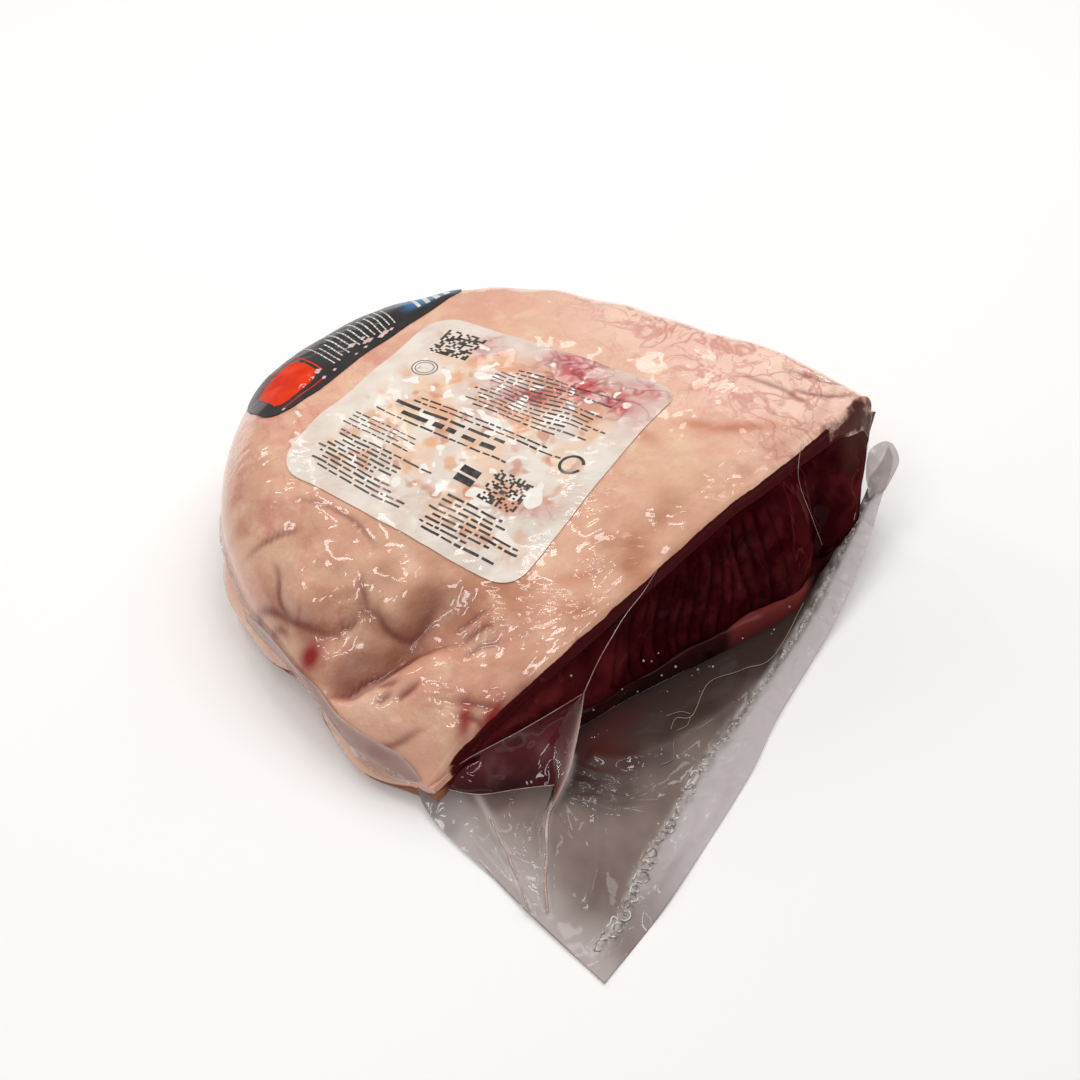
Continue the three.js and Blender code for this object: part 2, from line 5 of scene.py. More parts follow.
import bpy
import numpy as np
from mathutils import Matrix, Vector


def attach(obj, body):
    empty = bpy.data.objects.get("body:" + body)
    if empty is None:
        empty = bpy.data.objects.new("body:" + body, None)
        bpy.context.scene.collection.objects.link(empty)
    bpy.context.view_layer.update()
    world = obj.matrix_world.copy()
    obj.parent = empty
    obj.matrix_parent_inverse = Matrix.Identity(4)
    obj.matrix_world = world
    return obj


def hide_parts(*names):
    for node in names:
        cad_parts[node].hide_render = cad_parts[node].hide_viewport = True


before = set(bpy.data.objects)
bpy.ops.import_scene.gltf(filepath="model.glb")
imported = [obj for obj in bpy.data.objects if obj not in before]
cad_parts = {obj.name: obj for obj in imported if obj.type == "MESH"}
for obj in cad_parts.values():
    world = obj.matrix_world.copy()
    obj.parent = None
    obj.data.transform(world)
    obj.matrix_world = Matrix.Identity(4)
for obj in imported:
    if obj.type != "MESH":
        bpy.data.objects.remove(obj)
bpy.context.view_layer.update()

# ---- driving dimensions, in millimetres. "Plan" is the joint seen from above: x towards the
# straight cut, y along it. The model's origin lies at PLAN_ORIGIN.
PLAN_ORIGIN = (12.3, 1.0)
CUT_EDGE = [(67, -105), (69, -60), (71, -10), (71, 50), (70, 111)]
ROUND_EDGE = [
    (70, 111), (40, 109.5), (0, 101), (-38, 90), (-74, 74), (-102, 48), (-117.5, 16), (-120, -20),
    (-114, -53), (-95, -80), (-67, -102), (-34, -113), (8, -116), (42, -114), (67, -105),
]
EDGE_CORNERS = (0.36, 0.63)
STEPS_ALONG, STEPS_DEEP = 330, 230
WALL_ROWS, LEAN_ROWS = 9, 46
CROWN = 63
NEAR_DROP = 44
FAT_THICKNESS = 12
FIT_GAP = 0.3
CUT_ROUNDING = 3
FAN_CENTRE = (-20, 0)
SHOULDER = [(0, 14), (0.15, 22), (0.35, 29), (0.5, 27), (0.65, 34), (0.8, 44), (0.92, 38), (1, 24)]
RIM = [(0, 42), (0.15, 37), (0.35, 33), (0.5, 33), (0.65, 29), (0.8, 22), (0.92, 14), (1, 8)]
LEAN_LINE = [
    (0, 42), (0.06, 36), (0.16, 26), (0.35, 16), (0.5, 14), (0.62, 12), (0.72, 9), (0.8, 6),
    (0.835, 12), (0.85, 13), (0.865, 11), (0.9, 5), (0.96, 4), (1, 5),
]
WALL_INSET = [(0, 6), (0.15, 8), (0.5, 12), (0.8, 8), (1, 4)]
CUT_FAT = [(-107, 2.5), (-60, 2), (60, 2), (85, 4), (112, 14)]
CUT_BULGE = [(-107, 2), (-60, 5), (-20, 9), (10, 14), (50, 19), (90, 14), (112, 3)]
BULGE_SHARE = 0.75
CUT_UNDERCUT = 5
CUT_BLEND = 26
# Folds: plan route, depth at its two ends, half width.
FOLDS = [
    ([(20, -120), (24, -106), (28, -97), (31, -89), (35, -80), (41, -68)], (8, 1.5), 5),
    ([(0, -115), (12, -102), (22, -92), (30, -78), (34, -64)], (4, 3), 5.5),
    ([(-22, -100), (-12, -108), (-2, -109), (7, -104), (12, -95), (11, -87), (3, -81)], (0.8, 0.3), 4),
    ([(11, -88), (18, -89), (24, -86), (26, -78), (24, -67)], (0.8, 0.4), 3.5),
    ([(-45, -108), (-38, -96), (-40, -84)], (1.5, 0.6), 5),
]
# Soft rises: centre, half widths, height. The plan gives the centre of a swelling of the cap, the
# share round the edge and the share down give that of a lobe of the wall, and the plan y and the
# share down give that of a lobe of the cut.
SWELLINGS = [
    (48, -86, 17, 20, 5), (-4, -92, 14, 13, 2.5), (18, -76, 12, 11, 2), (2, -104, 14, 7, 2.5),
    (52, -60, 16, 16, 1.5), (-60, -60, 25, 20, 1.5), (40, 60, 30, 25, 1.5),
]
WALL_LOBES = [
    (0.765, 0.5, 0.05, 0.3, 6), (0.855, 0.55, 0.014, 0.45, -6), (0.93, 0.6, 0.05, 0.3, 5),
    (0.82, 0.45, 0.02, 0.3, 2),
]
CUT_LOBES = [
    (86, 0.45, 11, 0.4, 2.5), (66, 0.6, 4.5, 0.35, -4), (48, 0.6, 12, 0.35, 2.5), (26, 0.4, 5, 0.4, -2),
    (-48, 0.5, 5, 0.4, -2.5), (-36, 0.5, 6, 0.4, 1.5), (-4, 0.45, 6, 0.4, -1.5),
]
SEAM_ROWS = (0.94, 0.86, 0.45)
JUICE_LINE = [
    (-106, 67), (-98, 70), (-92, 73), (-85, 78), (-76, 83.5), (-68, 87), (-61, 85), (-56, 80),
    (-48, 77), (-27, 79.5), (3, 85.5), (32, 91), (50, 94), (66, 92), (85, 87), (103, 80), (113, 73),
]
JUICE_TOP = (0.52, 0.78)
POCKET_END = (-58, -44)
TAIL_ROOT_ENDS = (-108, 106)
TAIL_ROOT_GAP = 1.2
TAIL_NEAR_SIDE = [(79, -108), (96, -107), (117, -106), (148, -103)]
TAIL_MOUTH = [
    (148, -103), (144, -76), (138, -50), (129, -16), (120, 9), (107, 56), (97, 83), (88, 101), (81, 116),
    (74, 122),
]
TAIL_FAR_SIDE = [(77, 114), (74, 122)]
TAIL_LIFT = (30, 20, 130, 1.35)
WELD_LINE = [
    (139, -100), (137, -84), (131, -72), (125, -52), (117, -27), (111, 0), (104, 30), (98, 53), (90, 79),
    (83, 100), (79, 116),
]
SEAM_HEIGHT = [
    (0.03, 27), (0.15, 24), (0.35, 22), (0.5, 21), (0.62, 22), (0.72, 25), (0.8, 26), (0.86, 23),
    (0.9, 18), (0.94, 13), (0.97, 9),
]
LABEL_CORNERS = [(-49, -83), (41, -48), (21, 53), (-80, 14)]
LABEL_SIZE, LABEL_ROUNDING, LABEL_LIFT = (92, 100), 9, 0.45
STICKER_INNER = [(-67, -73), (-70, -55), (-76, -33), (-82, -9), (-86, 12), (-89, 36)]
STICKER_OUTER = [(-98, -71), (-110, -50), (-117, -20), (-114, 14), (-103, 38)]
STICKER_SIZE, STICKER_ROUNDING, STICKER_LIFT = (104, 44), 16, 0.5
SHEET_THICKNESS, PRINT_LIFT = 0.2, 0.06
CAMERA_PLACE, CAMERA_AIM = (0.2150, -0.1985, 0.3344), (-0.0123, -0.0010, 0)


# ---- small helpers
def mix(a, b, t):
    return a + (b - a) * t


def smooth(a, b, x):
    """0 at a and beyond, 1 at b and beyond, and an even rise or fall between them."""
    t = np.clip((x - a) / (b - a), 0, 1)
    return t * t * (3 - 2 * t)


def bell(x):
    return np.exp(-x * x)


def share_clip(x):
    return np.clip(x, 0, 1)


def read(pairs, x):
    return np.interp(x, *np.array(pairs, float).T)


def curve(points, t):
    """Points of an even Catmull-Rom curve at shares t of its length."""
    points = np.array(points, float)
    last = len(points) - 1
    at = np.clip(np.asarray(t, float), 0, 1) * last
    i = np.minimum(at.astype(int), last - 1)
    f = (at - i)[..., None]
    p0, p1, p2, p3 = (points[np.clip(i + k, 0, last)] for k in (-1, 0, 1, 2))
    slope, bend = (p2 - p0) * 0.5, (p3 - p1) * 0.5
    return (2 * p1 - 2 * p2 + slope + bend) * f**3 + (-3 * p1 + 3 * p2 - 2 * slope - bend) * f**2 + slope * f + p1


def nearest(x, y, line, batch=6000):
    """Distance from plan points to a polyline, and the share of the line where it is nearest."""
    line = np.array(line, float)
    (sx, sy), (dx, dy) = line[:-1].T, np.diff(line, axis=0).T
    flat_x, flat_y = np.ravel(x).astype(float), np.ravel(y).astype(float)
    found = []
    for k in range(0, len(flat_x), batch):
        px, py = flat_x[k:k + batch, None], flat_y[k:k + batch, None]
        t = share_clip(((px - sx) * dx + (py - sy) * dy) / (dx**2 + dy**2))
        gap = (sx + t * dx - px) ** 2 + (sy + t * dy - py) ** 2
        best = gap.argmin(1)
        rows = np.arange(len(best))
        found.append([np.sqrt(gap[rows, best]), (best + t[rows, best]) / len(sx)])
    return [values.reshape(np.shape(x)) for values in np.concatenate(found, axis=1)]


LATTICE = np.random.default_rng(11).random((32, 32, 32))


def noise(x, y, z=0.0):
    """Smooth noise from -1 to 1 with features about one unit wide."""
    spots = np.stack(np.broadcast_arrays(*(np.asarray(a, float) for a in (x, y, z))))
    cells = np.floor(spots).astype(int)
    parts = spots - cells
    parts = parts * parts * (3 - 2 * parts)
    total = 0.0
    for corner in np.ndindex(2, 2, 2):
        weight = math.prod(part if d else 1 - part for part, d in zip(parts, corner))
        total = total + weight * LATTICE[tuple((cell + d) % 32 for cell, d in zip(cells, corner))]
    return total * 2 - 1


def blobs(x, y, spots):
    """The strongest of soft spots (centre x, y, half widths, turn in degrees, strength)."""
    total = np.zeros(np.shape(x))
    for cx, cy, rx, ry, turn, strength in spots:
        c, s = math.cos(math.radians(turn)), math.sin(math.radians(turn))
        along, across = (x - cx) * c + (y - cy) * s, (y - cy) * c - (x - cx) * s
        total = np.maximum(total, strength * bell(along / rx) * bell(across / ry))
    return total


def mounds(x, y, rows):
    return sum(height * bell((x - cx) / rx) * bell((y - cy) / ry) for cx, cy, rx, ry, height in rows)


# ---- the form of the joint
CUT_LINE = curve(CUT_EDGE, np.linspace(0, 1, 61))
ROUND_LINE = curve(ROUND_EDGE, np.linspace(0, 1, 241))
FOLD_LINES = [(curve(route, np.linspace(0, 1, 25)), depth, width) for route, depth, width in FOLDS]
# Smaller creases that only the skin of the cap shows: plan route, depth, half width.
CREASES = [
    ([(21, -117), (22, -111), (23, -107), (24, -102), (28, -95), (30, -89), (32, -84), (37, -77), (43, -71)], 4, 3),
    ([(-24, -103), (-19, -104), (-14, -108), (-7, -109), (-2, -108), (4, -105), (9, -101), (11, -94)], 1.5, 1.7),
    ([(10, -96), (12, -89), (9, -87), (6, -86), (3, -83)], 0.5, 1.4),
    ([(11, -90), (16, -87), (20, -87), (24, -85), (27, -81), (27, -75), (26, -70)], 1.6, 1.8),
    ([(9, -99), (11, -96), (12, -93)], 1.6, 0.9), ([(-24, -116), (-18, -113), (-9, -110), (-5, -111)], 1.6, 1.6),
    ([(-12, -116), (-8, -113), (-4, -112)], 1.0, 1.2), ([(32, -100), (34, -98), (37, -95)], 1.2, 0.9),
    ([(36, -104), (37, -102), (38, -99)], 1.0, 0.8), ([(41, -99), (42, -96), (44, -91)], 1.2, 1.0),
    ([(37, -70), (38, -64), (40, -58)], 0.9, 1.2), ([(42, -72), (43, -64), (46, -60)], 0.8, 1.1),
    ([(47, -74), (48, -68), (52, -62)], 0.8, 1.2), ([(56, -86), (62, -80), (66, -76)], 1.0, 1.2),
    ([(60, -88), (64, -84), (67, -83)], 1.0, 1.0), ([(45, -113), (50, -106), (54, -98)], 0.6, 1.6),
    ([(-36, -108), (-30, -98), (-24, -90)], 0.7, 1.6), ([(-34, -84), (-24, -78), (-12, -74), (-2, -74)], 0.5, 1.6),
    ([(50, 84), (58, 90), (66, 100)], 0.7, 1.2), ([(40, 88), (52, 96), (62, 104)], 0.7, 1.2),
    ([(30, 74), (44, 80), (58, 82)], 0.5, 1.2),
]
CREASE_LINES = [(curve(route, np.linspace(0, 1, 17)), depth, width) for route, depth, width in CREASES]
# Rounded lumps of the near side that the creases run between, as soft rises of the plan.
LUMPS = [
    (-6, -101, 15, 7, 1.0), (19, -81, 7, 6, 0.6), (15, -99, 7, 7, 2.2), (9, -109, 8, 4.5, 1.8),
    (22, -96, 4, 5, 1.2), (44, -94, 14, 12, 1.6), (28, -78, 3.5, 14, -2.6), (62, -94, 6, 10, 1.2),
    (42, -110, 16, 6, 1.2),
]


def crown_height(x, y):
    arch = CROWN - 6.5 * ((x + 10) / 100) ** 2 - (np.maximum(y - 20, 0) / 100) ** 2
    far_rise = 7 * smooth(40, 115, y) * smooth(-60, 60, x)
    return arch + far_rise - NEAR_DROP * share_clip((30 - y) / 136) ** 1.25 * smooth(-70, 75, x)


def cap_relief(x, y):
    relief = mounds(x, y, SWELLINGS)
    for line, depth, width in FOLD_LINES:
        distance, share = nearest(x, y, line)
        relief = relief - mix(*depth, share) * bell(distance / width)
    relief = relief + 0.7 * np.sin(x / 11 + 1.3 * np.sin(y / 17)) * np.sin(y / 13 + 0.7)
    return relief + 0.4 * np.sin(x / 5.3 + y / 9.1) * np.sin(y / 6.7 - x / 15)


def crease_rows(x, y):
    """Each small crease's depth and half width, with each point's distance to it and share of it."""
    for line, depth, width in CREASE_LINES:
        distance, share = nearest(x, y, line)
        yield depth, width, distance, np.sin(math.pi * np.clip(share, 0.03, 0.97)) ** 0.5


def skin_relief(x, y):
    relief = 0.30 * noise(x / 8.0, y / 8.0, 3.1) + 0.12 * noise(x / 3.3, y / 3.3, 7.7)
    near = smooth(-30, -80, y) * smooth(-70, 10, x)
    relief = relief + near * (0.7 * noise(x / 9.0, y / 9.0, 1.3) + 0.3 * noise(x / 4.2, y / 4.2, 5.2))
    fibres = noise((x * 0.9 + y * 0.3) / 2.2, (y * 0.9 - x * 0.3) / 6.0, 8.1)
    relief = relief + 0.35 * fibres * blobs(x, y, [(15, -99, 10, 12, 0, 1.0), (40, -66, 10, 8, 0, 1.0)])
    relief = relief + mounds(x, y, LUMPS)
    for depth, width, distance, fade in crease_rows(x, y):
        relief = relief - 0.8 * depth * bell(distance / max(width, 1.5)) * fade
    return relief


def crease_shade(x, y):
    """How deep in a small crease each plan point lies, from 0 to 1, for the creases' painted shade."""
    shade = np.zeros(np.shape(x))
    for depth, width, distance, fade in crease_rows(x, y):
        line = 0.8 * bell(distance / 1.05) + 0.2 * bell(distance / (1.6 * width))
        shade = np.maximum(shade, fade * min(1.0, 0.55 + depth * 0.2) * line)
    return shade


def cap_height(x, y):
    """The cap's height over plan points: without its relief, and with it."""
    cut, _ = nearest(x, y, CUT_LINE)
    around, share = nearest(x, y, ROUND_LINE)
    crown = crown_height(x, y)
    by_cut, by_round = share_clip(1 - cut / CUT_ROUNDING), share_clip(1 - around / read(SHOULDER, share))
    q = np.minimum(1, np.cbrt(by_cut**3 + by_round**3))
    cut_share = smooth(0, 1, by_cut / (by_cut + by_round + 1e-6))
    rim = np.minimum(mix(read(RIM, share), crown - CUT_ROUNDING, cut_share), crown - 1)
    bare = mix(rim, crown, np.sqrt(np.maximum(1 - q * q, 0)))
    inside = smooth(0, 10, np.minimum(cut + 4, around))
    return bare, bare + (cap_relief(x, y) + skin_relief(x, y)) * inside


class Rim:
    """The joint's rim, with what the wall under it needs."""

    def __init__(self, points):
        self.x, self.y, self.z = points.T
        step = np.roll(points[:, :2], -1, 0) - np.roll(points[:, :2], 1, 0)
        normal = np.column_stack([step[:, 1], -step[:, 0]])
        self.normal = normal / np.linalg.norm(normal, axis=1)[:, None]
        cut, _ = nearest(self.x, self.y, CUT_LINE)
        _, self.share = nearest(self.x, self.y, ROUND_LINE)
        cut_split = np.minimum(self.z - read(CUT_FAT, self.y), self.z - 1)
        wall_split = np.minimum(read(LEAN_LINE, self.share), self.z - 2)
        self.on_cut = 1 - smooth(0, CUT_BLEND, cut)
        self.split_down = 1 - mix(cut_split, wall_split, smooth(0, 20, cut)) / self.z


def wall_point(rim, down, swell=0.0):
    """Points of the wall at a share of the way down, pushed out by swell."""
    down = np.broadcast_to(down, rim.x.shape)
    fullness = np.sin((math.pi / 2) * np.minimum(down / BULGE_SHARE, 1))
    forward = read(CUT_BULGE, rim.y) * fullness - CUT_UNDERCUT * smooth(0.8, 1, down)
    forward = forward * (1 - smooth(106, 111, rim.y))
    forward = forward + mounds(rim.y, down, CUT_LOBES) * smooth(0, 0.2, down)
    inset = read(WALL_INSET, rim.share) * (1 - np.sqrt(np.maximum(1 - down * down, 0)))
    inset = inset - mounds(rim.share, down, WALL_LOBES) * smooth(0, 0.2, down)
    back = (1 - rim.on_cut) * (inset - swell)
    return np.column_stack([
        rim.x + rim.on_cut * (forward + swell) - back * rim.normal[:, 0],
        rim.y - back * rim.normal[:, 1], rim.z * (1 - down),
    ])


def crowd(steps, strength):
    u = np.linspace(0, 1, steps + 1)
    return u - strength * np.sin(2 * math.pi * u) / (2 * math.pi)


def coons(front, back, left, right, u, v):
    """Patch between four borders, routes or functions, sampled at u along front and v along left."""
    sides = ((front, u), (back, u), (left, v), (right, v))
    f, b, l, r = (side(t) if callable(side) else curve(side, t) for side, t in sides)
    across, deep = u[:, None, None], v[None, :, None]
    between = (1 - deep) * f[:, None] + deep * b[:, None] + (1 - across) * l[None] + across * r[None]
    near, far = ((1 - across) * row[0] + across * row[-1] for row in (f, b))
    return between - (1 - deep) * near - deep * far


def grid_quads(rows, columns, base=0):
    k = base + np.arange(rows * columns).reshape(rows, columns)
    return np.stack([k[:-1, :-1], k[1:, :-1], k[1:, 1:], k[:-1, 1:]], -1).reshape(-1, 4)


def grid_border(rows, columns):
    k = np.arange(rows * columns).reshape(rows, columns)
    return np.concatenate([k[:-1, 0], k[-1, :-1], k[:0:-1, -1], k[0, :0:-1]])


def strip(a, b):
    """Quads between two rings that run the same way round, b below or inside a."""
    return np.column_stack([a, b, np.roll(b, -1), np.roll(a, -1)])


def fan(ring, centre):
    return np.column_stack([ring, np.full(len(ring), centre), np.roll(ring, -1)])


class Shell:
    """Points and faces that grow ring by ring."""

    def __init__(self, points, faces=()):
        self.points, self.faces, self.count = [points], list(faces), len(points)

    def add(self, points, faces, flip):
        self.points.append(points)
        self.faces.append(faces[:, ::-1] if flip else faces)
        self.count += len(points)

    def ring(self, before, row, flip=False):
        made = np.arange(self.count, self.count + len(row))
        self.add(row, strip(before, made), flip)
        return made

    def close(self, before, centre, flip=False):
        self.add([centre], fan(before, self.count), flip)


def mesh_piece(name, points, faces, material, node=None, attributes=None, uv=None):
    """A smooth mesh from plan points in millimetres, riding on the body of the frame."""
    points = (np.asarray(points, float) - [*PLAN_ORIGIN, 0]) / 1000
    mesh = bpy.data.meshes.new(name)
    sizes = np.concatenate([np.full(len(f), f.shape[1]) for f in faces])
    corners = np.concatenate([f.ravel() for f in faces])
    mesh.vertices.add(len(points))
    mesh.vertices.foreach_set("co", points.astype(np.float32).ravel())
    mesh.loops.add(len(corners))
    mesh.loops.foreach_set("vertex_index", corners.astype(np.int32))
    mesh.polygons.add(len(sizes))
    mesh.polygons.foreach_set("loop_start", (np.cumsum(sizes) - sizes).astype(np.int32))
    mesh.polygons.foreach_set("use_smooth", np.ones(len(sizes), bool))
    mesh.update(calc_edges=True)
    for key, values in (attributes or {}).items():
        layer = mesh.attributes.new(key, "FLOAT", "POINT")
        layer.data.foreach_set("value", np.asarray(values, np.float32))
    if uv is not None:
        layer = mesh.uv_layers.new(name="UVMap")
        layer.data.foreach_set("uv", np.asarray(uv, np.float32)[corners].ravel())
    mesh.validate()
    mesh.materials.append(material)
    piece = bpy.data.objects.new(name, mesh)
    bpy.context.scene.collection.objects.link(piece)
    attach(piece, "root")
    if node:
        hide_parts(node)


# ---- materials
def as_colour(value):
    """An sRGB triple from 0 to 255 as a linear colour; a node's output stays as it is."""
    if isinstance(value, Value):
        return value
    return (*((c / 12.92 if c <= 0.04045 else ((c + 0.055) / 1.055) ** 2.4) for c in np.array(value) / 255), 1.0)


class Value:
    """A number or a colour that a material's nodes give."""

    def __init__(self, look, socket):
        self.look, self.socket = look, socket

    def math(self, operation, other=0.0):
        made = self.look.node("Math", {"operation": operation})
        self.look.put(made.inputs[0], self)
        self.look.put(made.inputs[1], other)
        return Value(self.look, made.outputs[0])

    def __add__(self, other):
        return self.math("ADD", other)

    def __mul__(self, other):
        return self.math("MULTIPLY", other)

    def step(self, low, high, to_low=0.0, to_high=1.0):
        return Value(self.look, self.look.node(
            "MapRange", {"interpolation_type": "SMOOTHSTEP"}, Value=self, From_Min=low, From_Max=high,
            To_Min=to_low, To_Max=to_high,
        ).outputs[0])


class Look:
    """A material with its nodes, whose colour is laid on in coats."""

    def __init__(self, name):
        self.material = bpy.data.materials.new(name)
        self.material.use_nodes = True
        self.tree = self.material.node_tree
        self.tree.nodes.clear()
        self.output = self.tree.nodes.new("ShaderNodeOutputMaterial")
        self.place = self.node("TexCoord").outputs["Object"]

    def node(self, kind, settings=None, **inputs):
        made = self.tree.nodes.new("ShaderNode" + kind)
        for key, value in (settings or {}).items():
            setattr(made, key, value)
        for key, value in inputs.items():
            self.put(made.inputs[key.replace("_", " ")], value)
        return made

    def put(self, socket, value):
        value = value.socket if isinstance(value, Value) else value
        if isinstance(value, bpy.types.NodeSocket):
            self.tree.links.new(value, socket)
        else:
            socket.default_value = value

    def field(self, name):
        return Value(self, self.node("Attribute", {"attribute_name": name}).outputs["Fac"])

    def between(self, share, a, b):
        made = self.node("Mix", {"data_type": "RGBA"})
        for place, value in ((0, share), (6, as_colour(a)), (7, as_colour(b))):
            self.put(made.inputs[place], value)
        return Value(self, made.outputs[2])

    def start(self, share, a, b):
        self.colour = self.between(share, a, b)

    def tint(self, share, colour):
        self.colour = self.between(share, self.colour, colour)

    def turned(self, scale, turn=0.0):
        """The place, drawn out by the scale along an axis turned by that many degrees."""
        return self.node(
            "Mapping", {"vector_type": "TEXTURE"}, Vector=self.place, Rotation=(0, 0, math.radians(turn)), Scale=scale,
        ).outputs[0]

    def noise(self, scale, detail=3.0, roughness=0.5, distortion=0.0, source=None):
        return Value(self, self.node(
            "TexNoise", Vector=source or self.place, Scale=scale, Detail=detail, Roughness=roughness,
            Distortion=distortion,
        ).outputs["Fac"])

    def vein(self, scale, width, detail=4.0, distortion=0.6, source=None):
        """Thin branching lines, 1 on the line and 0 away from it."""
        off = (self.noise(scale, detail, 0.55, distortion, source) + -0.5).math("ABSOLUTE")
        return off.step(0.0, width, 1.0, 0.0)

    def bump(self, height, distance):
        return self.node("Bump", Height=height, Distance=distance, Strength=1.0).outputs[0]

    def ridges(self, amount, finer=1.0):
        """The tight film's fine wrinkles: sets of short crisp ridges that come and go."""
        height = None
        for scale, turn, low, high in ((380, 62, 0.40, 0.54), (300, 90, 0.47, 0.58), (460, 40, 0.5, 0.62)):
            ridge = self.noise(scale * finer, 0.0, 0.4, 0.2, self.turned((8, 1, 2), turn))
            part = ridge * self.noise(20 + scale * 0.05, 1.0).step(low, high)
            height = height + part if height else part
        return height * (amount * (3.6 / finer))

    def waves(self, ridges):
        """The whole height of the tight film: its wrinkles on slower waves."""
        return ridges + (self.noise(48, 1.5) * 2.2 + self.noise(130, 1.0) * 0.6)

    def film(self, height, distance):
        return {"Coat_Normal": self.bump(height, distance)}

    def finish(self, solid=None, clear=(1, 1, 1, 1), **settings):
        """A shader of the colour so far, see-through where its solid share is below 1."""
        shader = self.node("BsdfPrincipled", Base_Color=self.colour, **settings)
        if solid:
            mixed = self.node("MixShader", Fac=solid)
            self.put(mixed.inputs[1], self.node("BsdfTransparent", Color=clear).outputs[0])
            self.put(mixed.inputs[2], shader.outputs[0])
            shader = mixed
        self.tree.links.new(shader.outputs[0], self.output.inputs["Surface"])
        return self.material


def fat_look():
    look = Look("fat_under_film")
    broad, fine = look.noise(22, 3.0), look.noise(95, 4.0, 0.6)
    look.start(broad.step(0.35, 0.65), (234, 190, 159), (230, 175, 148))
    look.tint(fine.step(0.5, 0.72, 0.0, 0.6), (240, 205, 176))
    look.tint(look.noise(80, 3.0, 0.6, 0.3).step(0.54, 0.66, 0.0, 0.5), (238, 201, 166))
    look.tint(look.noise(110, 4.0, 0.65).step(0.45, 0.65, 0.0, 0.7) * look.field("mottled"), (180, 112, 86))
    # Painted light: the far part of the cap is paler, where the overhead light falls on it.
    look.tint(look.field("pale"), (253, 216, 198))
    look.tint(look.field("rosy") * look.noise(60, 5.0, 0.62).step(0.42, 0.62) * 0.75, (214, 138, 124))
    lines = look.vein(38, 0.03).math("MAXIMUM", look.vein(75, 0.03) * 0.7)
    look.tint(lines * look.field("vein") * 0.55, (190, 98, 90))
    # Painted shade: the tan and fold spots and the crease lines. Amber, bruise and blood are stains.
    for name, strength, colour in (
        ("tan", 0.85, (178, 114, 82)), ("fold_shade", 0.85, (138, 84, 64)), ("crease", 0.95, (112, 34, 30)),
        ("amber", 0.8, (196, 112, 78)), ("bruise", 0.8, (132, 60, 56)), ("blood", 0.9, (148, 26, 26)),
    ):
        look.tint(look.field(name) * strength, colour)
    ragged = look.noise(130, 3.0, 0.6).step(0.3, 0.7, -0.25, 0.25)
    far_cut_brown, lean_edge = look.field("far_cut_brown"), look.field("lean_edge")
    look.tint((far_cut_brown + ragged).step(0.2, 0.8) * 0.95, (76, 34, 30))
    look.tint((lean_edge + ragged).step(0.35, 0.75), (74, 15, 20))
    ridges = look.ridges(look.field("wrinkle"))
    dull = lean_edge.math("MAXIMUM", far_cut_brown)
    return look.finish(
        Roughness=0.45, Specular_IOR_Level=dull.step(0, 0.4, 0.3, 0.03), Subsurface_Weight=0.06,
        Subsurface_Radius=(0.002, 0.001, 0.0006), Subsurface_Scale=1.0,
        Normal=look.bump(fine + (ridges * 0.1 + broad * 0.6), 0.0012), Coat_Weight=dull.step(0, 0.4, 0.9, 0.05),
        Coat_Roughness=0.06, Coat_IOR=1.45, **look.film(look.waves(ridges), 0.00026),
    )


def lean_look():
    look = Look("lean_under_film")
    stretched = look.turned((1, 1, 3))
    fibre, patch, marbling_and_sheen = look.noise(240, 4.0, 0.6, 0.4, stretched), look.noise(40, 3.0), look.field("marbling_and_sheen")
    look.start(patch.step(0.35, 0.68), (46, 4, 9), (68, 11, 16))
    look.tint(look.field("reddish"), (122, 42, 44))
    look.tint(fibre.step(0.5, 0.75, 0.0, 0.5), (84, 18, 24))
    # Painted highlight on the crests of the fibre bundles; the far lobes and the near end are lightened with it.
    look.tint(look.field("crest") * look.noise(120, 3.0).step(0.4, 0.65) * 0.45, (104, 34, 36))
    # Painted sheen: soft pink streaks over the far lobes. The line below is the real marbling.
    look.tint(look.noise(60, 3.0, 0.6, 0.4, stretched).step(0.5, 0.72) * marbling_and_sheen * 0.6, (108, 36, 40))
    look.tint(look.vein(46, 0.015, 3.0, 0.6, stretched) * marbling_and_sheen * 0.3, (132, 66, 62))
    look.tint(look.field("far_cut_brown"), (90, 54, 46))
    look.tint(look.field("fatty") * patch.step(0.3, 0.6, 0.6, 1.0), (172, 118, 94))
    look.tint(look.field("shade") * 0.85, (20, 0, 3))
    return look.finish(
        Roughness=0.5, Specular_IOR_Level=0.0, Normal=look.bump(fibre, 0.0008), Coat_Roughness=0.06, Coat_IOR=1.4,
        Coat_Weight=look.noise(110, 1.0).step(0.62, 0.68, 0.02, 0.12),
        **look.film(look.ridges(look.field("wrinkle")) + fibre * 0.7, 0.0003),
    )


def juice_look():
    look = Look("juice_under_film")
    cloud = look.noise(50, 3.0)
    look.start(cloud.step(0.35, 0.7), (38, 2, 6), (66, 8, 14))
    look.tint(look.field("band"), (150, 58, 58))
    look.tint(look.field("pocket") * 0.75, (104, 34, 40))
    look.tint(look.field("pale") * cloud.step(0.35, 0.6), (150, 112, 104))
    ridges = look.ridges(look.field("wrinkle"), 0.4)
    return look.finish(
        Roughness=0.4, Specular_IOR_Level=0.04, Coat_Weight=ridges.step(0.1, 0.6, 0.1, 0.9), Coat_Roughness=0.05,
        Coat_IOR=1.4, **look.film(look.waves(ridges), 0.0003),
    )


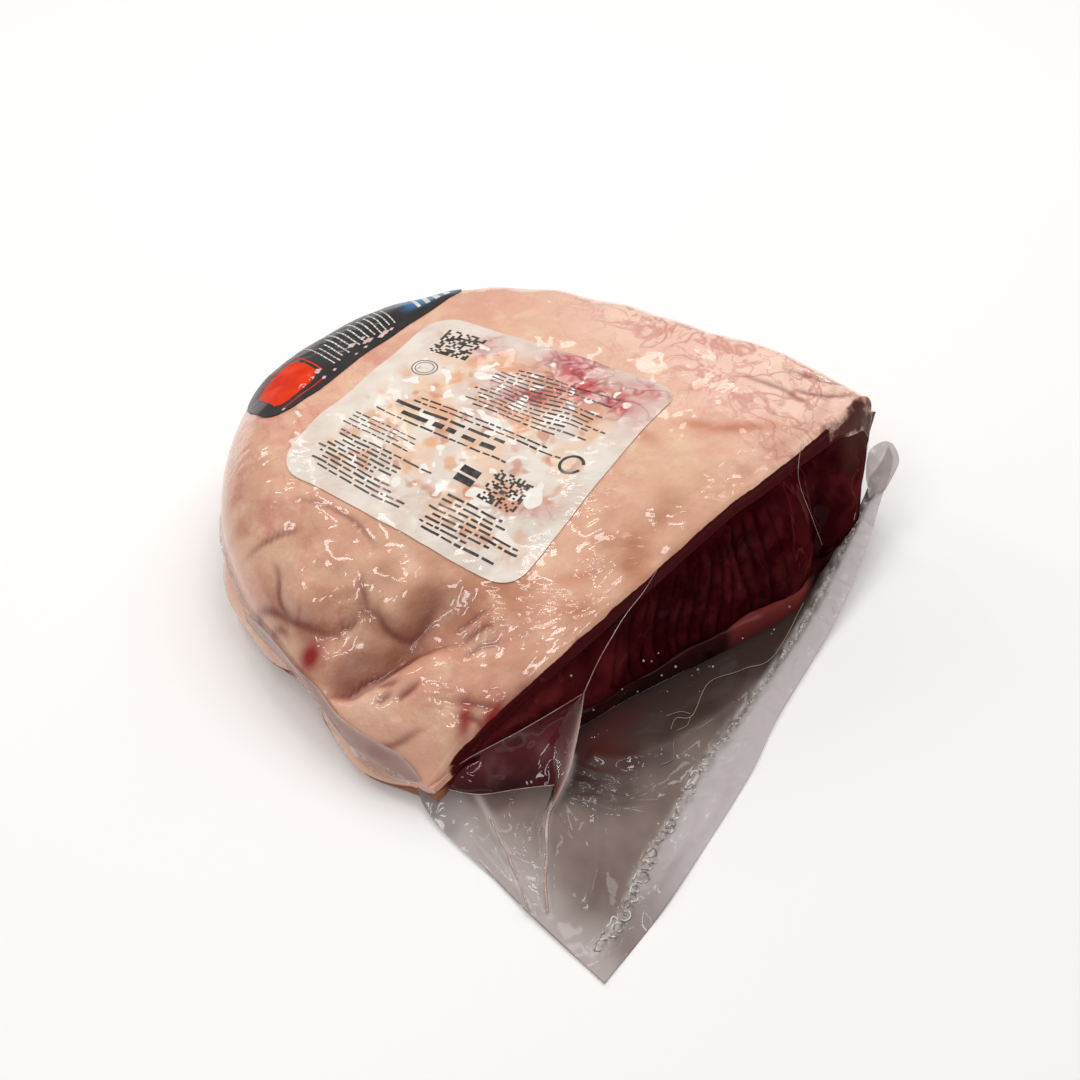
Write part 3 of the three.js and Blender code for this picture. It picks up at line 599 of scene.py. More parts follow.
def film_look():
    """The two layers of film in the bag's empty end, with a trace of juice between them."""
    look = Look("clear_film")
    left, lip = look.field("left"), look.field("lip")
    look.start(look.noise(28, 4.0, 0.6).step(0.3, 0.7), (114, 96, 89), (136, 118, 110))
    look.tint(left, (192, 180, 176))
    look.tint(lip, (220, 210, 211))
    # Painted shadow and reflection of the meat, darkening the film beside it.
    look.tint(look.field("meat_shadow_reflection"), (58, 42, 38))
    look.tint(look.field("smear") * 0.8, (90, 30, 28))
    look.tint(look.field("milky"), (222, 214, 210))
    return look.finish(
        (lip + left * 0.25) * -0.4 + 0.985, (0.9, 0.88, 0.88, 1), Roughness=0.4, Specular_IOR_Level=0.2,
        Coat_Weight=0.9, Coat_Roughness=0.05, Coat_IOR=1.4,
        **look.film(look.waves(look.ridges(look.field("wrinkle"), 0.17)), 0.00022),
    )


def fin_look():
    """A single thin edge of film: nearly clear, pale where it is creased."""
    look = Look("film_edge")
    creased = look.noise(160, 3.0).step(0.4, 0.7)
    look.start(creased, (196, 166, 156), (232, 216, 210))
    return look.finish(
        creased * 0.3 + 0.22, Roughness=0.25, Coat_Weight=1.0, Coat_Roughness=0.05,
        **look.film(look.noise(220, 2.0), 0.0004),
    )


def label_look():
    look = Look("soaked_label")
    uv = look.node("TexCoord").outputs["UV"]
    soaked, red = look.field("soak"), look.field("red")
    look.start(look.noise(7, 2.0, 0.5, 0.0, uv).step(0.35, 0.65), (238, 226, 214), (228, 210, 196))
    for scale, low, high, strength, colour in (
        (5.5, 0.46, 0.58, 0.7, (240, 202, 170)), (9.0, 0.52, 0.64, 0.75, (228, 168, 130)),
        (13.0, 0.58, 0.68, 0.7, (206, 134, 102)),
    ):
        look.tint(look.noise(scale, 1.5, 0.45, 0.2, uv).step(low, high, 0.0, strength) * soaked, colour)
    look.tint(red * look.noise(8, 3.0, 0.6, 0.6, uv).step(0.3, 0.6, 0.35, 1.0), (196, 80, 84))
    look.tint(red * look.vein(9, 0.05, 2.0, 0.5, uv) * 0.8, (150, 40, 46))
    for scale, low in ((21, 0.655), (10, 0.675)):
        look.tint(look.noise(scale, 0.5, 0.4, 0.3, uv).step(low, low + 0.012) * soaked, (248, 240, 230))
    return look.finish(
        Roughness=0.5, Specular_IOR_Level=0.3, Normal=look.bump(look.noise(12, 3.0, 0.5, 0.5, uv), 0.0012),
        Coat_Weight=0.6, Coat_Roughness=0.1, **look.film(look.waves(look.ridges(look.field("wrinkle"))), 0.00025),
    )


def ink_look():
    """Print on the label: dark to mid grey, worn in places."""
    look = Look("label_print")
    look.start(look.noise(420, 2.0).step(0.35, 0.75), (38, 34, 34), (84, 74, 70))
    look.tint(look.field("tone"), (150, 126, 116))
    return look.finish(Roughness=0.5, Coat_Weight=0.6, Coat_Roughness=0.15)


def sticker_look():
    look = Look("dark_sticker")
    look.start(look.noise(90, 3.0), (30, 26, 27), (52, 47, 47))
    look.tint(look.field("blue"), (44, 116, 168))
    return look.finish(
        Roughness=0.45, Specular_IOR_Level=0.2, Coat_Weight=0.4, Coat_Roughness=0.1,
        **look.film(look.waves(look.ridges(0.3)), 0.00025),
    )


def sticker_print_look():
    look = Look("sticker_print")
    grain = look.noise(150, 3.0).step(0.3, 0.7)
    orange = look.between(grain, (232, 58, 14), (214, 46, 10))
    look.start(look.field("tone"), orange, look.between(grain, (196, 190, 184), (226, 220, 214)))
    return look.finish(Roughness=0.6, Specular_IOR_Level=0.1, Coat_Weight=0.12, Coat_Roughness=0.12)


def hair_look():
    look = Look("fine_thread")
    look.start(look.noise(200, 2.0), (140, 122, 96), (186, 170, 140))
    return look.finish(Roughness=0.4)


def curl_look():
    """Small curls and bubbles of film: pale and wet, darker in places."""
    look = Look("film_curls")
    look.start(look.noise(420, 2.0).step(0.4, 0.6), (128, 116, 110), (220, 213, 209))
    return look.finish(Roughness=0.25, Coat_Weight=1.0, Coat_Roughness=0.04)


def web_look():
    """Film that stands off the meat: dark and reddish behind, pale along its edge."""
    look = Look("standing_web")
    edge = look.field("edge")
    look.start(look.noise(120, 3.0), (84, 34, 36), (140, 84, 80))
    look.tint(edge, (206, 174, 166))
    return look.finish(
        edge.step(0, 1, 0.5, 0.85), Roughness=0.3, Coat_Weight=0.8, Coat_Roughness=0.05,
        **look.film(look.noise(150, 2.0), 0.0006),
    )


def fold_look():
    """Folds where several layers of film lie close together: pale pink and glossy."""
    look = Look("gathered_film")
    mottle = look.noise(160, 3.0)
    look.start(mottle, (176, 140, 128), (222, 196, 184))
    return look.finish(mottle.step(0.3, 0.7, 0.5, 0.9), Roughness=0.3, Coat_Weight=1.0, Coat_Roughness=0.04)


def floor_look():
    look = Look("pale_floor")
    look.start(look.noise(3.0, 2.0), (251, 248, 246), (254, 251, 249))
    return look.finish(Roughness=0.7)


# ---- the joint
# Where the cap's colour changes and where shade and light are painted on it, as soft spots: plan centre, half widths,
# turn, strength.
CAP_SPOTS = {
    "rosy": [
        (-88, -40, 30, 40, 0, 0.9), (-40, -95, 40, 18, 0, 0.8), (55, -76, 18, 16, 0, 0.5), (64, 20, 8, 60, 0, 0.35),
    ],
    "vein": [(70, 92, 12, 26, 0, 1.0), (-70, -60, 30, 30, 0, 0.45), (10, -90, 40, 20, 20, 0.12)],
    # Painted shade in the valleys beside the folds and lobes of the near side.
    "fold_shade": [
        (28, -80, 3.5, 12, 0, 0.95), (25, -69, 6, 7, 0, 0.75), (31, -66, 9, 7, 0, 0.4), (27, -90, 4, 7, 0, 0.8),
        (22, -97, 5, 9, -25, 0.6), (21, -106, 3, 6, -10, 0.7), (0, -108, 14, 2.5, 6, 0.5), (16, -89, 8, 3, 8, 0.5),
        (-14, -110, 10, 3, -10, 0.4), (8, -80, 5, 7, 0, 0.25), (41, -68, 8, 5, 30, 0.3),
    ],
    "amber": [
        (48, 53, 15, 2.6, 50, 1.0), (38, 44, 8, 2.6, 40, 0.9), (56, 64, 5, 3, 50, 0.6), (68, -13, 3, 5, 0, 0.7),
        (28, 26, 7, 3, 20, 0.6), (52, -30, 9, 2.5, 60, 0.5), (60, -38, 6, 2.5, 40, 0.5), (24, 60, 10, 3, 60, 0.4),
    ],
    "blood": [
        (8, -111, 4.2, 4.2, 20, 1.3), (66.8, -79, 2.4, 7, 10, 1.1), (62, -86.5, 2.4, 6, 40, 1.0),
        (70, 98, 1.6, 9, 8, 0.4), (60, 92, 1.6, 9, 20, 0.3), (43, -95, 0.8, 3, -12, 0.5),
        (-4, -106, 0.8, 2.4, 30, 0.6), (36, -98, 0.8, 2.4, -30, 0.6),
    ],
    "wrinkle": [
        (50, -20, 16, 26, 20, 1.0), (54, -52, 16, 16, 0, 1.0), (56, -82, 14, 16, 0, 1.0), (62, 34, 7, 26, 0, 0.6),
        (66, 82, 8, 22, 0, 0.6), (-5, -92, 24, 14, 0, 0.2), (22, 10, 20, 40, 0, 0.2), (-60, -86, 30, 16, -30, 0.35),
        (30, 70, 26, 12, 0, 0.35),
    ],
    "mottled": [(10, -98, 26, 14, 10, 1.0), (36, -62, 18, 12, 0, 1.0), (30, -82, 10, 16, 0, 0.9)],
    "pale": [(30, -106, 10, 8, 0, 0.4)],
    # Painted shade, tan-brown, over the low near side and along the slope down to the cut.
    "tan": [
        (28, -74, 14, 20, 0, 1.0), (0, -94, 30, 18, 0, 0.8), (60, -10, 14, 34, 0, 1.0), (38, -58, 24, 18, 0, 1.2),
        (6, -74, 26, 12, 0, 0.6), (66, 60, 5, 40, 0, 0.4), (-50, -96, 24, 12, -20, 0.4), (60, -80, 8, 14, 0, 0.5),
        (12, -62, 18, 12, 0, 0.5),
    ],
}


def cap_fields(x, y):
    """Where the fat is rosy, veined, stained or covered by wrinkled film, and where shade and light are painted on it.
    """
    far = smooth(20, 90, y) * smooth(-110, -20, x)
    fields = {name: blobs(x, y, spots) for name, spots in CAP_SPOTS.items()}
    fields["rosy"] = share_clip(fields["rosy"] + 0.2 + 0.05 * far)
    fields["vein"] = share_clip(fields["vein"] + 0.15 + 0.85 * smooth(40, 75, y) * smooth(-80, -20, x))
    fields["wrinkle"] = share_clip(fields["wrinkle"] + 0.06)
    # Painted light: the far part of the cap is paler, where the overhead light falls.
    fields["pale"] = fields["pale"] + 0.85 * far
    fields["tan"] = share_clip(fields["tan"] * (0.75 + 0.6 * noise(x / 7, y / 7, 11.0)))
    # The dark lines of the small creases are painted shade.
    fields["crease"] = crease_shade(x, y)
    return fields


def joint_rows():
    """The cap's points, the rim with what it needs, and the rows where the fat meets the lean."""
    q1, q2 = EDGE_CORNERS
    plan = coons(
        CUT_EDGE, lambda u: curve(ROUND_EDGE, mix(q2, q1, u)), lambda v: curve(ROUND_EDGE, mix(1, q2, v)),
        lambda v: curve(ROUND_EDGE, q1 * v), crowd(STEPS_ALONG, 0.3), crowd(STEPS_DEEP, 0.62),
    )
    x, y = plan[..., 0].ravel(), plan[..., 1].ravel()
    top = np.column_stack([x, y, cap_height(x, y)[1]])
    loop = grid_border(*plan.shape[:2])
    rim = Rim(top[loop])
    split = wall_point(rim, rim.split_down)
    inside = []
    for scale in SEAM_ROWS:
        row_x, row_y = mix(FAN_CENTRE[0], split[:, 0], scale), mix(FAN_CENTRE[1], split[:, 1], scale)
        inward = np.hypot(split[:, 0] - row_x, split[:, 1] - row_y)
        thickness = FAT_THICKNESS - 6 * rim.on_cut * (1 - smooth(5, 30, inward))
        rise = smooth(0, 1, (inward - 7 * (1 - rim.on_cut)) / (14 - 6 * rim.on_cut))
        level = np.maximum(cap_height(row_x, row_y)[0] - thickness, split[:, 2] + 0.5)
        inside.append(np.column_stack([row_x, row_y, mix(split[:, 2], level, rise)]))
    centre = np.array([*FAN_CENTRE, cap_height(*np.array(FAN_CENTRE, float)[:, None])[0][0] - FAT_THICKNESS])
    return {"shape": plan.shape[:2], "top": top, "loop": loop, "rim": rim, "inside": inside, "centre": centre}


def fat_piece(joint, material):
    rim, inside = joint["rim"], joint["inside"]
    shares = np.linspace(0, 1, WALL_ROWS)[1:]
    shell = Shell(joint["top"], [grid_quads(*joint["shape"])])
    ring = joint["loop"]
    for row in [wall_point(rim, t * rim.split_down) for t in shares] + inside:
        ring = shell.ring(ring, row)
    shell.close(ring, joint["centre"])
    size = len(rim.x)
    down = np.concatenate([np.zeros(len(joint["top"])), np.repeat(shares, size), np.ones(size * len(inside) + 1)])
    points = np.vstack(shell.points)
    x, y, z = points.T
    fields = cap_fields(x, y)
    cut, _ = nearest(x, y, CUT_LINE)
    by_cut = (1 - smooth(1.5, 4.5, cut)) * (1 - smooth(-10, 10, 62 - x))
    below = np.where(down > 0, smooth(-0.1, 0.25, down), 0.6 * (1 - smooth(0.2, 1.5, cut)))
    thin = mix(smooth(-0.05, 0.4, below + 0.2 * noise(y / 4, 3.5, 2.0)), smooth(0.55, 1.0, down), smooth(74, 90, y))
    thin = by_cut * thin * smooth(-104, -92, y)
    near_cut = blobs(x, y, [(70.5, -66, 2.0, 7, 0, 0.7), (70, -52, 1.4, 8, 0, 0.5)])
    fields["lean_edge"] = share_clip(np.maximum(thin, near_cut))
    fields["bruise"] = blobs(x, y, [(69, -67, 4.0, 7, 0, 0.9), (68.5, -79, 2.6, 6, 0, 0.8)])
    # Darker brown along the far end of the cut.
    fields["far_cut_brown"] = by_cut * smooth(66, 88, y) * smooth(-0.4, 0.3, down + 0.15 * noise(y / 3, 1.5, 4.0))
    low = bell((z - 15.5) / 2.6) * smooth(-111, -114, y)
    fields["blood"] = np.maximum(fields["blood"], low * bell((x - 21) / 5) * 0.9)
    mesh_piece("fat_cap_skin", points, shell.faces, material, "fat_cap", fields)


# Grooves between the fibre bundles of the cut: plan y from and to, spacing, depth.
GROOVES = (-40, 47, 6.0, 1.7)


def lean_swell(rim, down, t):
    """How far the lean stands out at each point of its wall, with how much it is a crest or a groove."""
    start, end, spacing, depth = GROOVES
    lean = smooth(24, -26, rim.y)
    sweep = mix(3.0, 15.0, lean) * (1 - np.minimum(t / 0.6, 1)) ** 1.5
    hook = mix(2.0, 5.0, lean) * smooth(0.5, 1, t)
    wander = 4.4 * noise(rim.y / 13, t * 1.4, 4.0) + 1.0 * noise(rim.y / 4, t * 3.5, 14.0)
    ridge = np.abs(np.sin(math.pi * (rim.y - sweep - hook + wander) / spacing)) ** 0.55
    zone = smooth(start - 5, start + 5, rim.y - sweep) * (1 - smooth(end - 8, end + 8, rim.y))
    zone = zone * smooth(0, 0.1, t) * (1 - smooth(0.66, 0.84, t)) * rim.on_cut
    swell = depth * zone * (0.65 + 0.55 * noise(rim.y / 8, t * 2.5, 9.0)) * (ridge - 0.7)
    slow = 1.1 * noise(rim.y / 14, t * 2.6, 2.0) + 0.5 * noise(rim.y / 5.5, t * 6, 6.0)
    around = 0.9 * noise(rim.x / 12, rim.y / 12 + t * 2, 8.0)
    swell = swell + smooth(0, 0.1, t) * (1 - smooth(0.9, 1, t)) * (rim.on_cut * slow + (1 - rim.on_cut) * around)
    return swell, zone * share_clip(ridge * 1.4 - 0.5), zone * share_clip(1 - ridge * 1.6)


def lean_fields(rim, t, crest, groove):
    on_cut, y = rim.on_cut, rim.y
    far_lobes, near_end = smooth(38, 52, y), smooth(-42, -54, y) * on_cut
    low = smooth(0.55, 0.95, t) * on_cut * (1 - 0.6 * near_end)
    valley = bell((y - 66) / 5) * on_cut * smooth(0.1, 0.5, t)
    ragged = 0.12 * noise(y / 3, 4.5, 2.0)
    return {
        # Painted highlight on the crests of the fibre bundles; the far lobes and the near end are lightened with it.
        "crest": share_clip(crest + (0.4 * far_lobes + 0.4 * near_end) * on_cut),
        "shade": share_clip(0.9 * groove + 0.55 * low + 0.5 * valley + 0.35 * bell(t / 0.12)),
        "marbling_and_sheen": share_clip(0.25 + 0.75 * far_lobes + 0.3 * (y < -45)),
        "wrinkle": np.full(len(y), 0.12),
        "far_cut_brown": on_cut * smooth(78, 92, y) * (1 - smooth(0.04, 0.3, t + ragged)),
        "fatty": np.maximum((1 - on_cut) * smooth(0.88, 0.92, rim.share), smooth(-99, -104, y)),
        "reddish": 0.7 * smooth(-20, -48, y) * on_cut * share_clip(0.6 + 0.7 * noise(y / 7, t * 3, 12.0)),
    }


def lean_piece(joint, material):
    rim = joint["rim"]
    size = len(rim.x)
    lower = np.array([0, 0, -FIT_GAP])
    rows, fields = [], []
    for t in np.linspace(0, 1, LEAN_ROWS) ** 1.05:
        down = mix(rim.split_down, 1, t)
        swell, crest, groove = lean_swell(rim, down, t)
        rows.append(wall_point(rim, down, swell) + lower * (t == 0))
        fields.append(lean_fields(rim, t, crest, groove))
    shell = Shell(rows[0])
    ring = np.arange(size)
    for row in rows[1:]:
        ring = shell.ring(ring, row)
    shell.close(ring, [*FAN_CENTRE, 0.0])
    ring = np.arange(size)
    for row in joint["inside"]:
        ring = shell.ring(ring, row + lower, True)
    shell.close(ring, joint["centre"] + lower, True)
    rest = np.zeros(shell.count - size * len(rows))
    fields = {key: np.concatenate([row[key] for row in fields] + [rest]) for key in fields[0]}
    mesh_piece("lean_meat", np.vstack(shell.points), shell.faces, material, "muscle", fields)


def cut_reach(y):
    """Furthest that the cut's lean or the juice reaches at a plan y."""
    y = np.asarray(y, float)
    cut_x = curve(CUT_EDGE, (y + 105) / 217)[..., 0]
    reach = read(JUICE_LINE, y)
    for down in (0.4, 0.5, 0.6):
        forward = read(CUT_BULGE, y) * math.sin((math.pi / 2) * down / BULGE_SHARE)
        reach = np.maximum(reach, cut_x + forward + mounds(y, down, CUT_LOBES))
    return reach + TAIL_ROOT_GAP


def juice_piece(joint, material):
    """The juice between the foot of the cut and the film, widest in the near pocket."""
    rim = joint["rim"]
    along = STEPS_ALONG + 1
    pocket = (1 - smooth(*POCKET_END, rim.y)) * rim.on_cut
    top_share = mix(rim.split_down, 1, mix(JUICE_TOP[1], JUICE_TOP[0], pocket))
    step_up = 0.03 * noise(rim.y / 17, 0.5, 3.0) + 0.008 * noise(rim.y / 4, 1.5, 3.0)
    upper, foot = (wall_point(rim, share_clip(mix(top_share, 1, t) + step_up * (1 - t)))[:along] for t in (0, 1))
    y = upper[:, 1]
    outer_x = np.maximum(read(JUICE_LINE, y) + 0.4 * noise(y / 11, 2.5, 1.0), foot[:, 0] + 1.5)
    rows = []
    for angle in np.linspace(0, math.pi / 2, 15):
        bulge = 0.25 * noise(y / 9, angle * 2, 5.0) * math.sin(2 * angle)
        x = mix(upper[:, 0] + 0.3, outer_x, math.sin(angle) ** 0.9) + bulge
        rows.append(np.column_stack([x, y, upper[:, 2] * math.cos(angle) ** 1.1]))
    rows.append(np.column_stack([foot[:, 0] - 2, y, np.zeros(along)]))
    rows.append(np.column_stack([upper[:, 0] - 3, y, upper[:, 2] * 0.7]))
    points = np.vstack(rows)
    k = np.arange(len(points)).reshape(len(rows), along)
    closing = np.column_stack([k[-1, :-1], k[0, :-1], k[0, 1:], k[-1, 1:]])
    px, py = points[:, 0], points[:, 1]
    mesh_piece("meat_juice", points, [grid_quads(len(rows), along), closing], material, "purge", {
        "band": smooth(14, 20, py) * (1 - smooth(52, 60, py)) * 0.8,
        "pocket": blobs(px, py, [(74, -72, 10, 20, 0, 0.9)]), "pale": np.zeros(len(px)),
        "wrinkle": share_clip(0.2 + blobs(px, py, [(72, -74, 12, 30, 0, 0.8)])),
    })


# ---- the bag
# Raised lines of the empty end: route, height, half width.
PLEATS = [
    ([(84, -58), (90, -66), (95, -78), (100, -84), (107, -90), (113, -96), (122, -102)], 1.3, 1.3),
    ([(72, -94), (77, -94), (84, -95), (91, -97), (98, -99), (109, -103), (118, -106)], 0.9, 1.2),
    ([(86, -54), (96, -47), (102, -33), (105, -17), (106, 3)], 1.6, 3.4),
    ([(70, -100), (82, -103), (96, -104), (120, -104)], 0.9, 1.6),
    ([(92, -60), (104, -66), (118, -78), (128, -92)], 0.7, 2.2),
    ([(120, -40), (128, -44), (134, -60), (138, -78)], 0.9, 2.0),
    ([(122, -20), (130, -34), (134, -52)], 0.6, 1.8), ([(96, 20), (104, 8), (108, -12), (112, -30)], 0.5, 2.6),
    ([(90, 70), (96, 50), (101, 30)], 0.5, 2.0), ([(84, 96), (90, 84), (95, 66)], 0.6, 1.8),
]
PLEAT_LINES = [(curve(route, np.linspace(0, 1, 31)), height, width) for route, height, width in PLEATS]
# Patches of short wrinkles in the empty end: plan centre, half widths, turn, how many, their
# length, their turn and their height.
WRINKLE_PATCHES = [
    ((88, -82), (11, 5), -20, 13, 10.0, -35, 1.0), ((103, -58), (8, 7), 20, 11, 10.0, 35, 1.0),
    ((121, -22), (4, 14), 10, 8, 8.0, 80, 0.6), ((130, -64), (4, 18), 10, 8, 8.0, 95, 0.5),
    ((109, 34), (6, 20), 15, 10, 6.0, 20, 0.5), ((92, 84), (6, 14), 30, 8, 6.0, 30, 0.6),
    ((98, -96), (14, 5), 0, 10, 9.0, 5, 0.5),
]


def short_wrinkles(x, y):
    rng = np.random.default_rng(21)
    rise = np.zeros(np.shape(x))
    for (cx, cy), (rx, ry), turn, count, length, lean, height in WRINKLE_PATCHES:
        a = math.radians(turn)
        for _ in range(count):
            du, dv = rng.normal(0, 0.6, 2) * (rx, ry)
            px, py = cx + du * math.cos(a) - dv * math.sin(a), cy + du * math.sin(a) + dv * math.cos(a)
            b = math.radians(lean + rng.normal(0, 16))
            size = length * rng.uniform(0.5, 1.2)
            along = (x - px) * math.cos(b) + (y - py) * math.sin(b)
            across = (y - py) * math.cos(b) - (x - px) * math.sin(b) - 0.02 * along**2
            rise = np.maximum(rise, height * rng.uniform(0.5, 1.2) * bell(along / size) * bell(across / 1.3))
    return rise


def tail_surface(x, y):
    """Height of the empty end's upper face, with each point's distance from the joint and from the
    weld, its share along the weld, and how far it lies outside it."""
    inward = x - cut_reach(np.clip(y, *TAIL_ROOT_ENDS))
    line = curve(WELD_LINE, np.linspace(0, 1, 61))
    weld, along = nearest(x, y, line)
    outside = smooth(0, 2.5, np.where(x > np.interp(y, line[:, 1], line[:, 0]), weld, -weld))
    height, start, end, power = TAIL_LIFT
    wave = 0.5 + 0.5 * np.sin(x / 9 + 1.6 * np.sin(y / 21)) * np.sin(y / 15 + 1)
    rise = height * smooth(start, end, y) ** power + wave * smooth(2, 12, inward) + 0.6
    rise = rise + 0.45 * noise(x / 12, y / 12, 2.0) * smooth(0, 8, inward) + short_wrinkles(x, y)
    for route, height, width in PLEAT_LINES:
        distance, share = nearest(x, y, route)
        rise = rise + height * bell(distance / width) * smooth(0, 0.1, share) * (1 - smooth(0.93, 1, share))
    folds = np.abs(noise(along * 50 + weld / 16, weld / 11, 5.0))
    rise = rise + 1.3 * np.sqrt(folds) * outside * smooth(-30, 20, y)
    curl = share_clip(0.5 + 1.1 * noise(along * 95, weld / 1.7, 7.0))
    return rise + 1.5 * bell(weld / 1.9) * curl, (inward, weld, along, outside)


def tail_fields(x, y, inward, weld, along, outside):
    reach = 12 + 30 * smooth(-80, -50, y) - 14 * smooth(20, 70, y)
    # Painted shadow and reflection of the meat: darkest next to it, fading with distance.
    meat_shadow_reflection = (1 - smooth(0.25, 1.0, (inward + 6 * noise(x / 9, y / 9, 6.0)) / reach)) * mix(0.55, 1.0, smooth(-90, -60, y))
    milky = 0.8 * share_clip(bell(weld / 1.9) * (0.55 + 0.45 * noise(along * 90, weld / 1.6, 2.0)))
    for route, _, _ in PLEAT_LINES[:2]:
        milky = np.maximum(milky, 0.45 * bell(nearest(x, y, route)[0] / 1.2))
    return {
        "lip": outside * smooth(-100, -40, y), "meat_shadow_reflection": 0.95 * meat_shadow_reflection * (1 - outside), "milky": milky,
        "smear": blobs(x, y, [(88, -48, 12, 10, 0, 0.7), (84, -40, 6, 14, 0, 0.6), (80, -86, 8, 12, 0, 0.4)]),
        "left": (1 - smooth(3, 24, y + 108 + 3 * noise(x / 9, y / 9, 3.0))) * 0.9,
        "wrinkle": share_clip(0.05 + 0.3 * outside + blobs(x, y, [
            (101, -60, 10, 10, 0, 1.0), (86, -86, 12, 8, 0, 1.0), (84, 108, 10, 14, 0, 0.5),
            (104, -36, 6, 14, 0, 0.6), (126, -30, 8, 16, 0, 0.7),
        ])),
    }


def tail_piece(material):
    steps, under_steps = (440, 180), (110, 30)

    def root(u):
        y = mix(*TAIL_ROOT_ENDS, u)
        return np.column_stack([cut_reach(y) - 1.0, y])

    near_end, far_end = root(np.array([0.0, 1.0]))

    def spread(along, deep):
        plan = coons(
            root, TAIL_MOUTH, [tuple(near_end)] + TAIL_NEAR_SIDE, [tuple(far_end)] + TAIL_FAR_SIDE,
            np.linspace(0, 1, along + 1), np.linspace(0, 1, deep + 1),
        )
        x, y = plan[..., 0].ravel(), plan[..., 1].ravel()
        top, place = tail_surface(x, y)
        return np.column_stack([x, y, top]), tail_fields(x, y, *place)

    upper, upper_fields = spread(*steps)
    border = grid_border(steps[0] + 1, steps[1] + 1)
    edge = upper[border] - [0, 0, 0.5]
    lower, lower_fields = spread(*under_steps)
    lower[:, 2] -= 2.0
    for rows in (edge, lower):
        rows[:, 2] = np.maximum(rows[:, 2], 0.05)
    count = len(upper)
    faces = [
        grid_quads(steps[0] + 1, steps[1] + 1)[:, ::-1], strip(border, count + np.arange(len(border)))[:, ::-1],
        grid_quads(under_steps[0] + 1, under_steps[1] + 1, count + len(border)),
    ]
    fields = {key: np.concatenate([v, v[border], lower_fields[key]]) for key, v in upper_fields.items()}
    mesh_piece("bag_empty_end", np.vstack([upper, edge, lower]), faces, material, "bag_tail", fields)


def seam_piece(material):
    """The pressed edge of the bag: a thin wavy fin round the wall."""
    count = 520
    t = np.linspace(0.03, 0.972, count)
    line, step = curve(ROUND_EDGE, t), curve(ROUND_EDGE, t + 0.004) - curve(ROUND_EDGE, t - 0.004)
    z = cap_height(line[:, 0], line[:, 1])[1]
    rim = Rim(np.column_stack([line, z]))
    rim.normal = np.column_stack([step[:, 1], -step[:, 0]]) / np.linalg.norm(step, axis=1)[:, None]
    height = np.minimum(read(SEAM_HEIGHT, t), z - 1)
    flap = (1.0 * bell((t - 0.94) / 0.035) + 0.6 * bell((t - 0.88) / 0.025)) * smooth(0.972, 0.955, t)
    wide = 1.3 + 0.6 * noise(t * 60, 0.3, 1.0) + 0.7 * flap
    rows = []
    for share in np.linspace(0, 1, 9):
        level = height + mix(0.6 + 3.2 * flap, -0.3 - 2.6 * flap, share) + 0.35 * noise(t * 120, share * 3, 6.0)
        row = wall_point(rim, np.clip(1 - level / z, 0.01, 0.99))
        out = 0.25 + wide * share + 0.3 * noise(t * 75, share * 3, 3.0) * share
        rows.append(np.column_stack([row[:, :2] + rim.normal * out[:, None], row[:, 2]]))
    upper = np.vstack(rows)
    sheet, border = grid_quads(len(rows), count), grid_border(len(rows), count)
    faces = [sheet, sheet[:, ::-1] + len(upper), strip(border, border + len(upper))]
    mesh_piece("bag_pressed_edge", np.vstack([upper, upper - [0, 0, 0.25]]), faces, material, "bag_seam")


class Strands:
    """Thin round strands of plan points, all in one mesh."""

    def __init__(self):
        self.points, self.faces, self.count = [], [], 0

    def add(self, route, radius, sides=6):
        route = np.asarray(route, float)
        direction = np.gradient(route, axis=0)
        direction /= np.linalg.norm(direction, axis=1)[:, None]
        side = np.cross(direction, [0, 0, 1])
        side /= np.maximum(np.linalg.norm(side, axis=1), 1e-6)[:, None]
        up = np.cross(side, direction)
        radius = np.broadcast_to(radius, len(route))[:, None]
        angles = np.linspace(0, 2 * math.pi, sides, endpoint=False)
        self.points += [route + radius * (math.cos(a) * side + math.sin(a) * up) for a in angles]
        k = self.count + np.arange(len(route) * sides).reshape(sides, len(route))
        ahead = np.roll(k, -1, 0)
        self.faces.append(np.stack([k[:, :-1], k[:, 1:], ahead[:, 1:], ahead[:, :-1]], -1).reshape(-1, 4))
        self.count += len(route) * sides

    def speck(self, centre, radius):
        t = np.linspace(-1, 1, 7)
        route = np.array(centre, float) + np.column_stack([t * radius, 0 * t, 0 * t])
        self.add(route, radius * np.sqrt(np.maximum(1 - t * t, 0.0004)), 8)

    def piece(self, name, material):
        mesh_piece(name, np.vstack(self.points), self.faces, material, None)


def weld_piece(material):
    """The chain of small curls and bubbles that the weld leaves in the film."""
    rng = np.random.default_rng(17)
    curls = Strands()
    at = 0.03
    while at < 0.97:
        big = 1 - smooth(0.34, 0.5, at)
        size = mix(0.5, 1.5, big) * rng.uniform(0.6, 1.3)
        spot = curve(WELD_LINE, at) + rng.normal(0, 0.35 + 0.35 * big, 2)
        start, sweep = rng.uniform(0, 6.3), rng.uniform(3.2, 6.0)
        angles = np.linspace(start, start + sweep, 15)
        x = spot[0] + size * (0.8 * np.cos(angles) + 0.25 * np.sin(2 * angles))
        y = spot[1] + size * rng.uniform(0.8, 1.7) * np.sin(angles)
        z = tail_surface(x, y)[0] + 0.12
        curls.add(np.column_stack([x, y, z]), mix(0.22, 0.3, big) * np.sin(np.linspace(0.25, 2.9, 15)) ** 0.5)
        at += 0.0075 * size * rng.uniform(0.7, 1.3) + 0.002
    curls.piece("weld_curls", material)


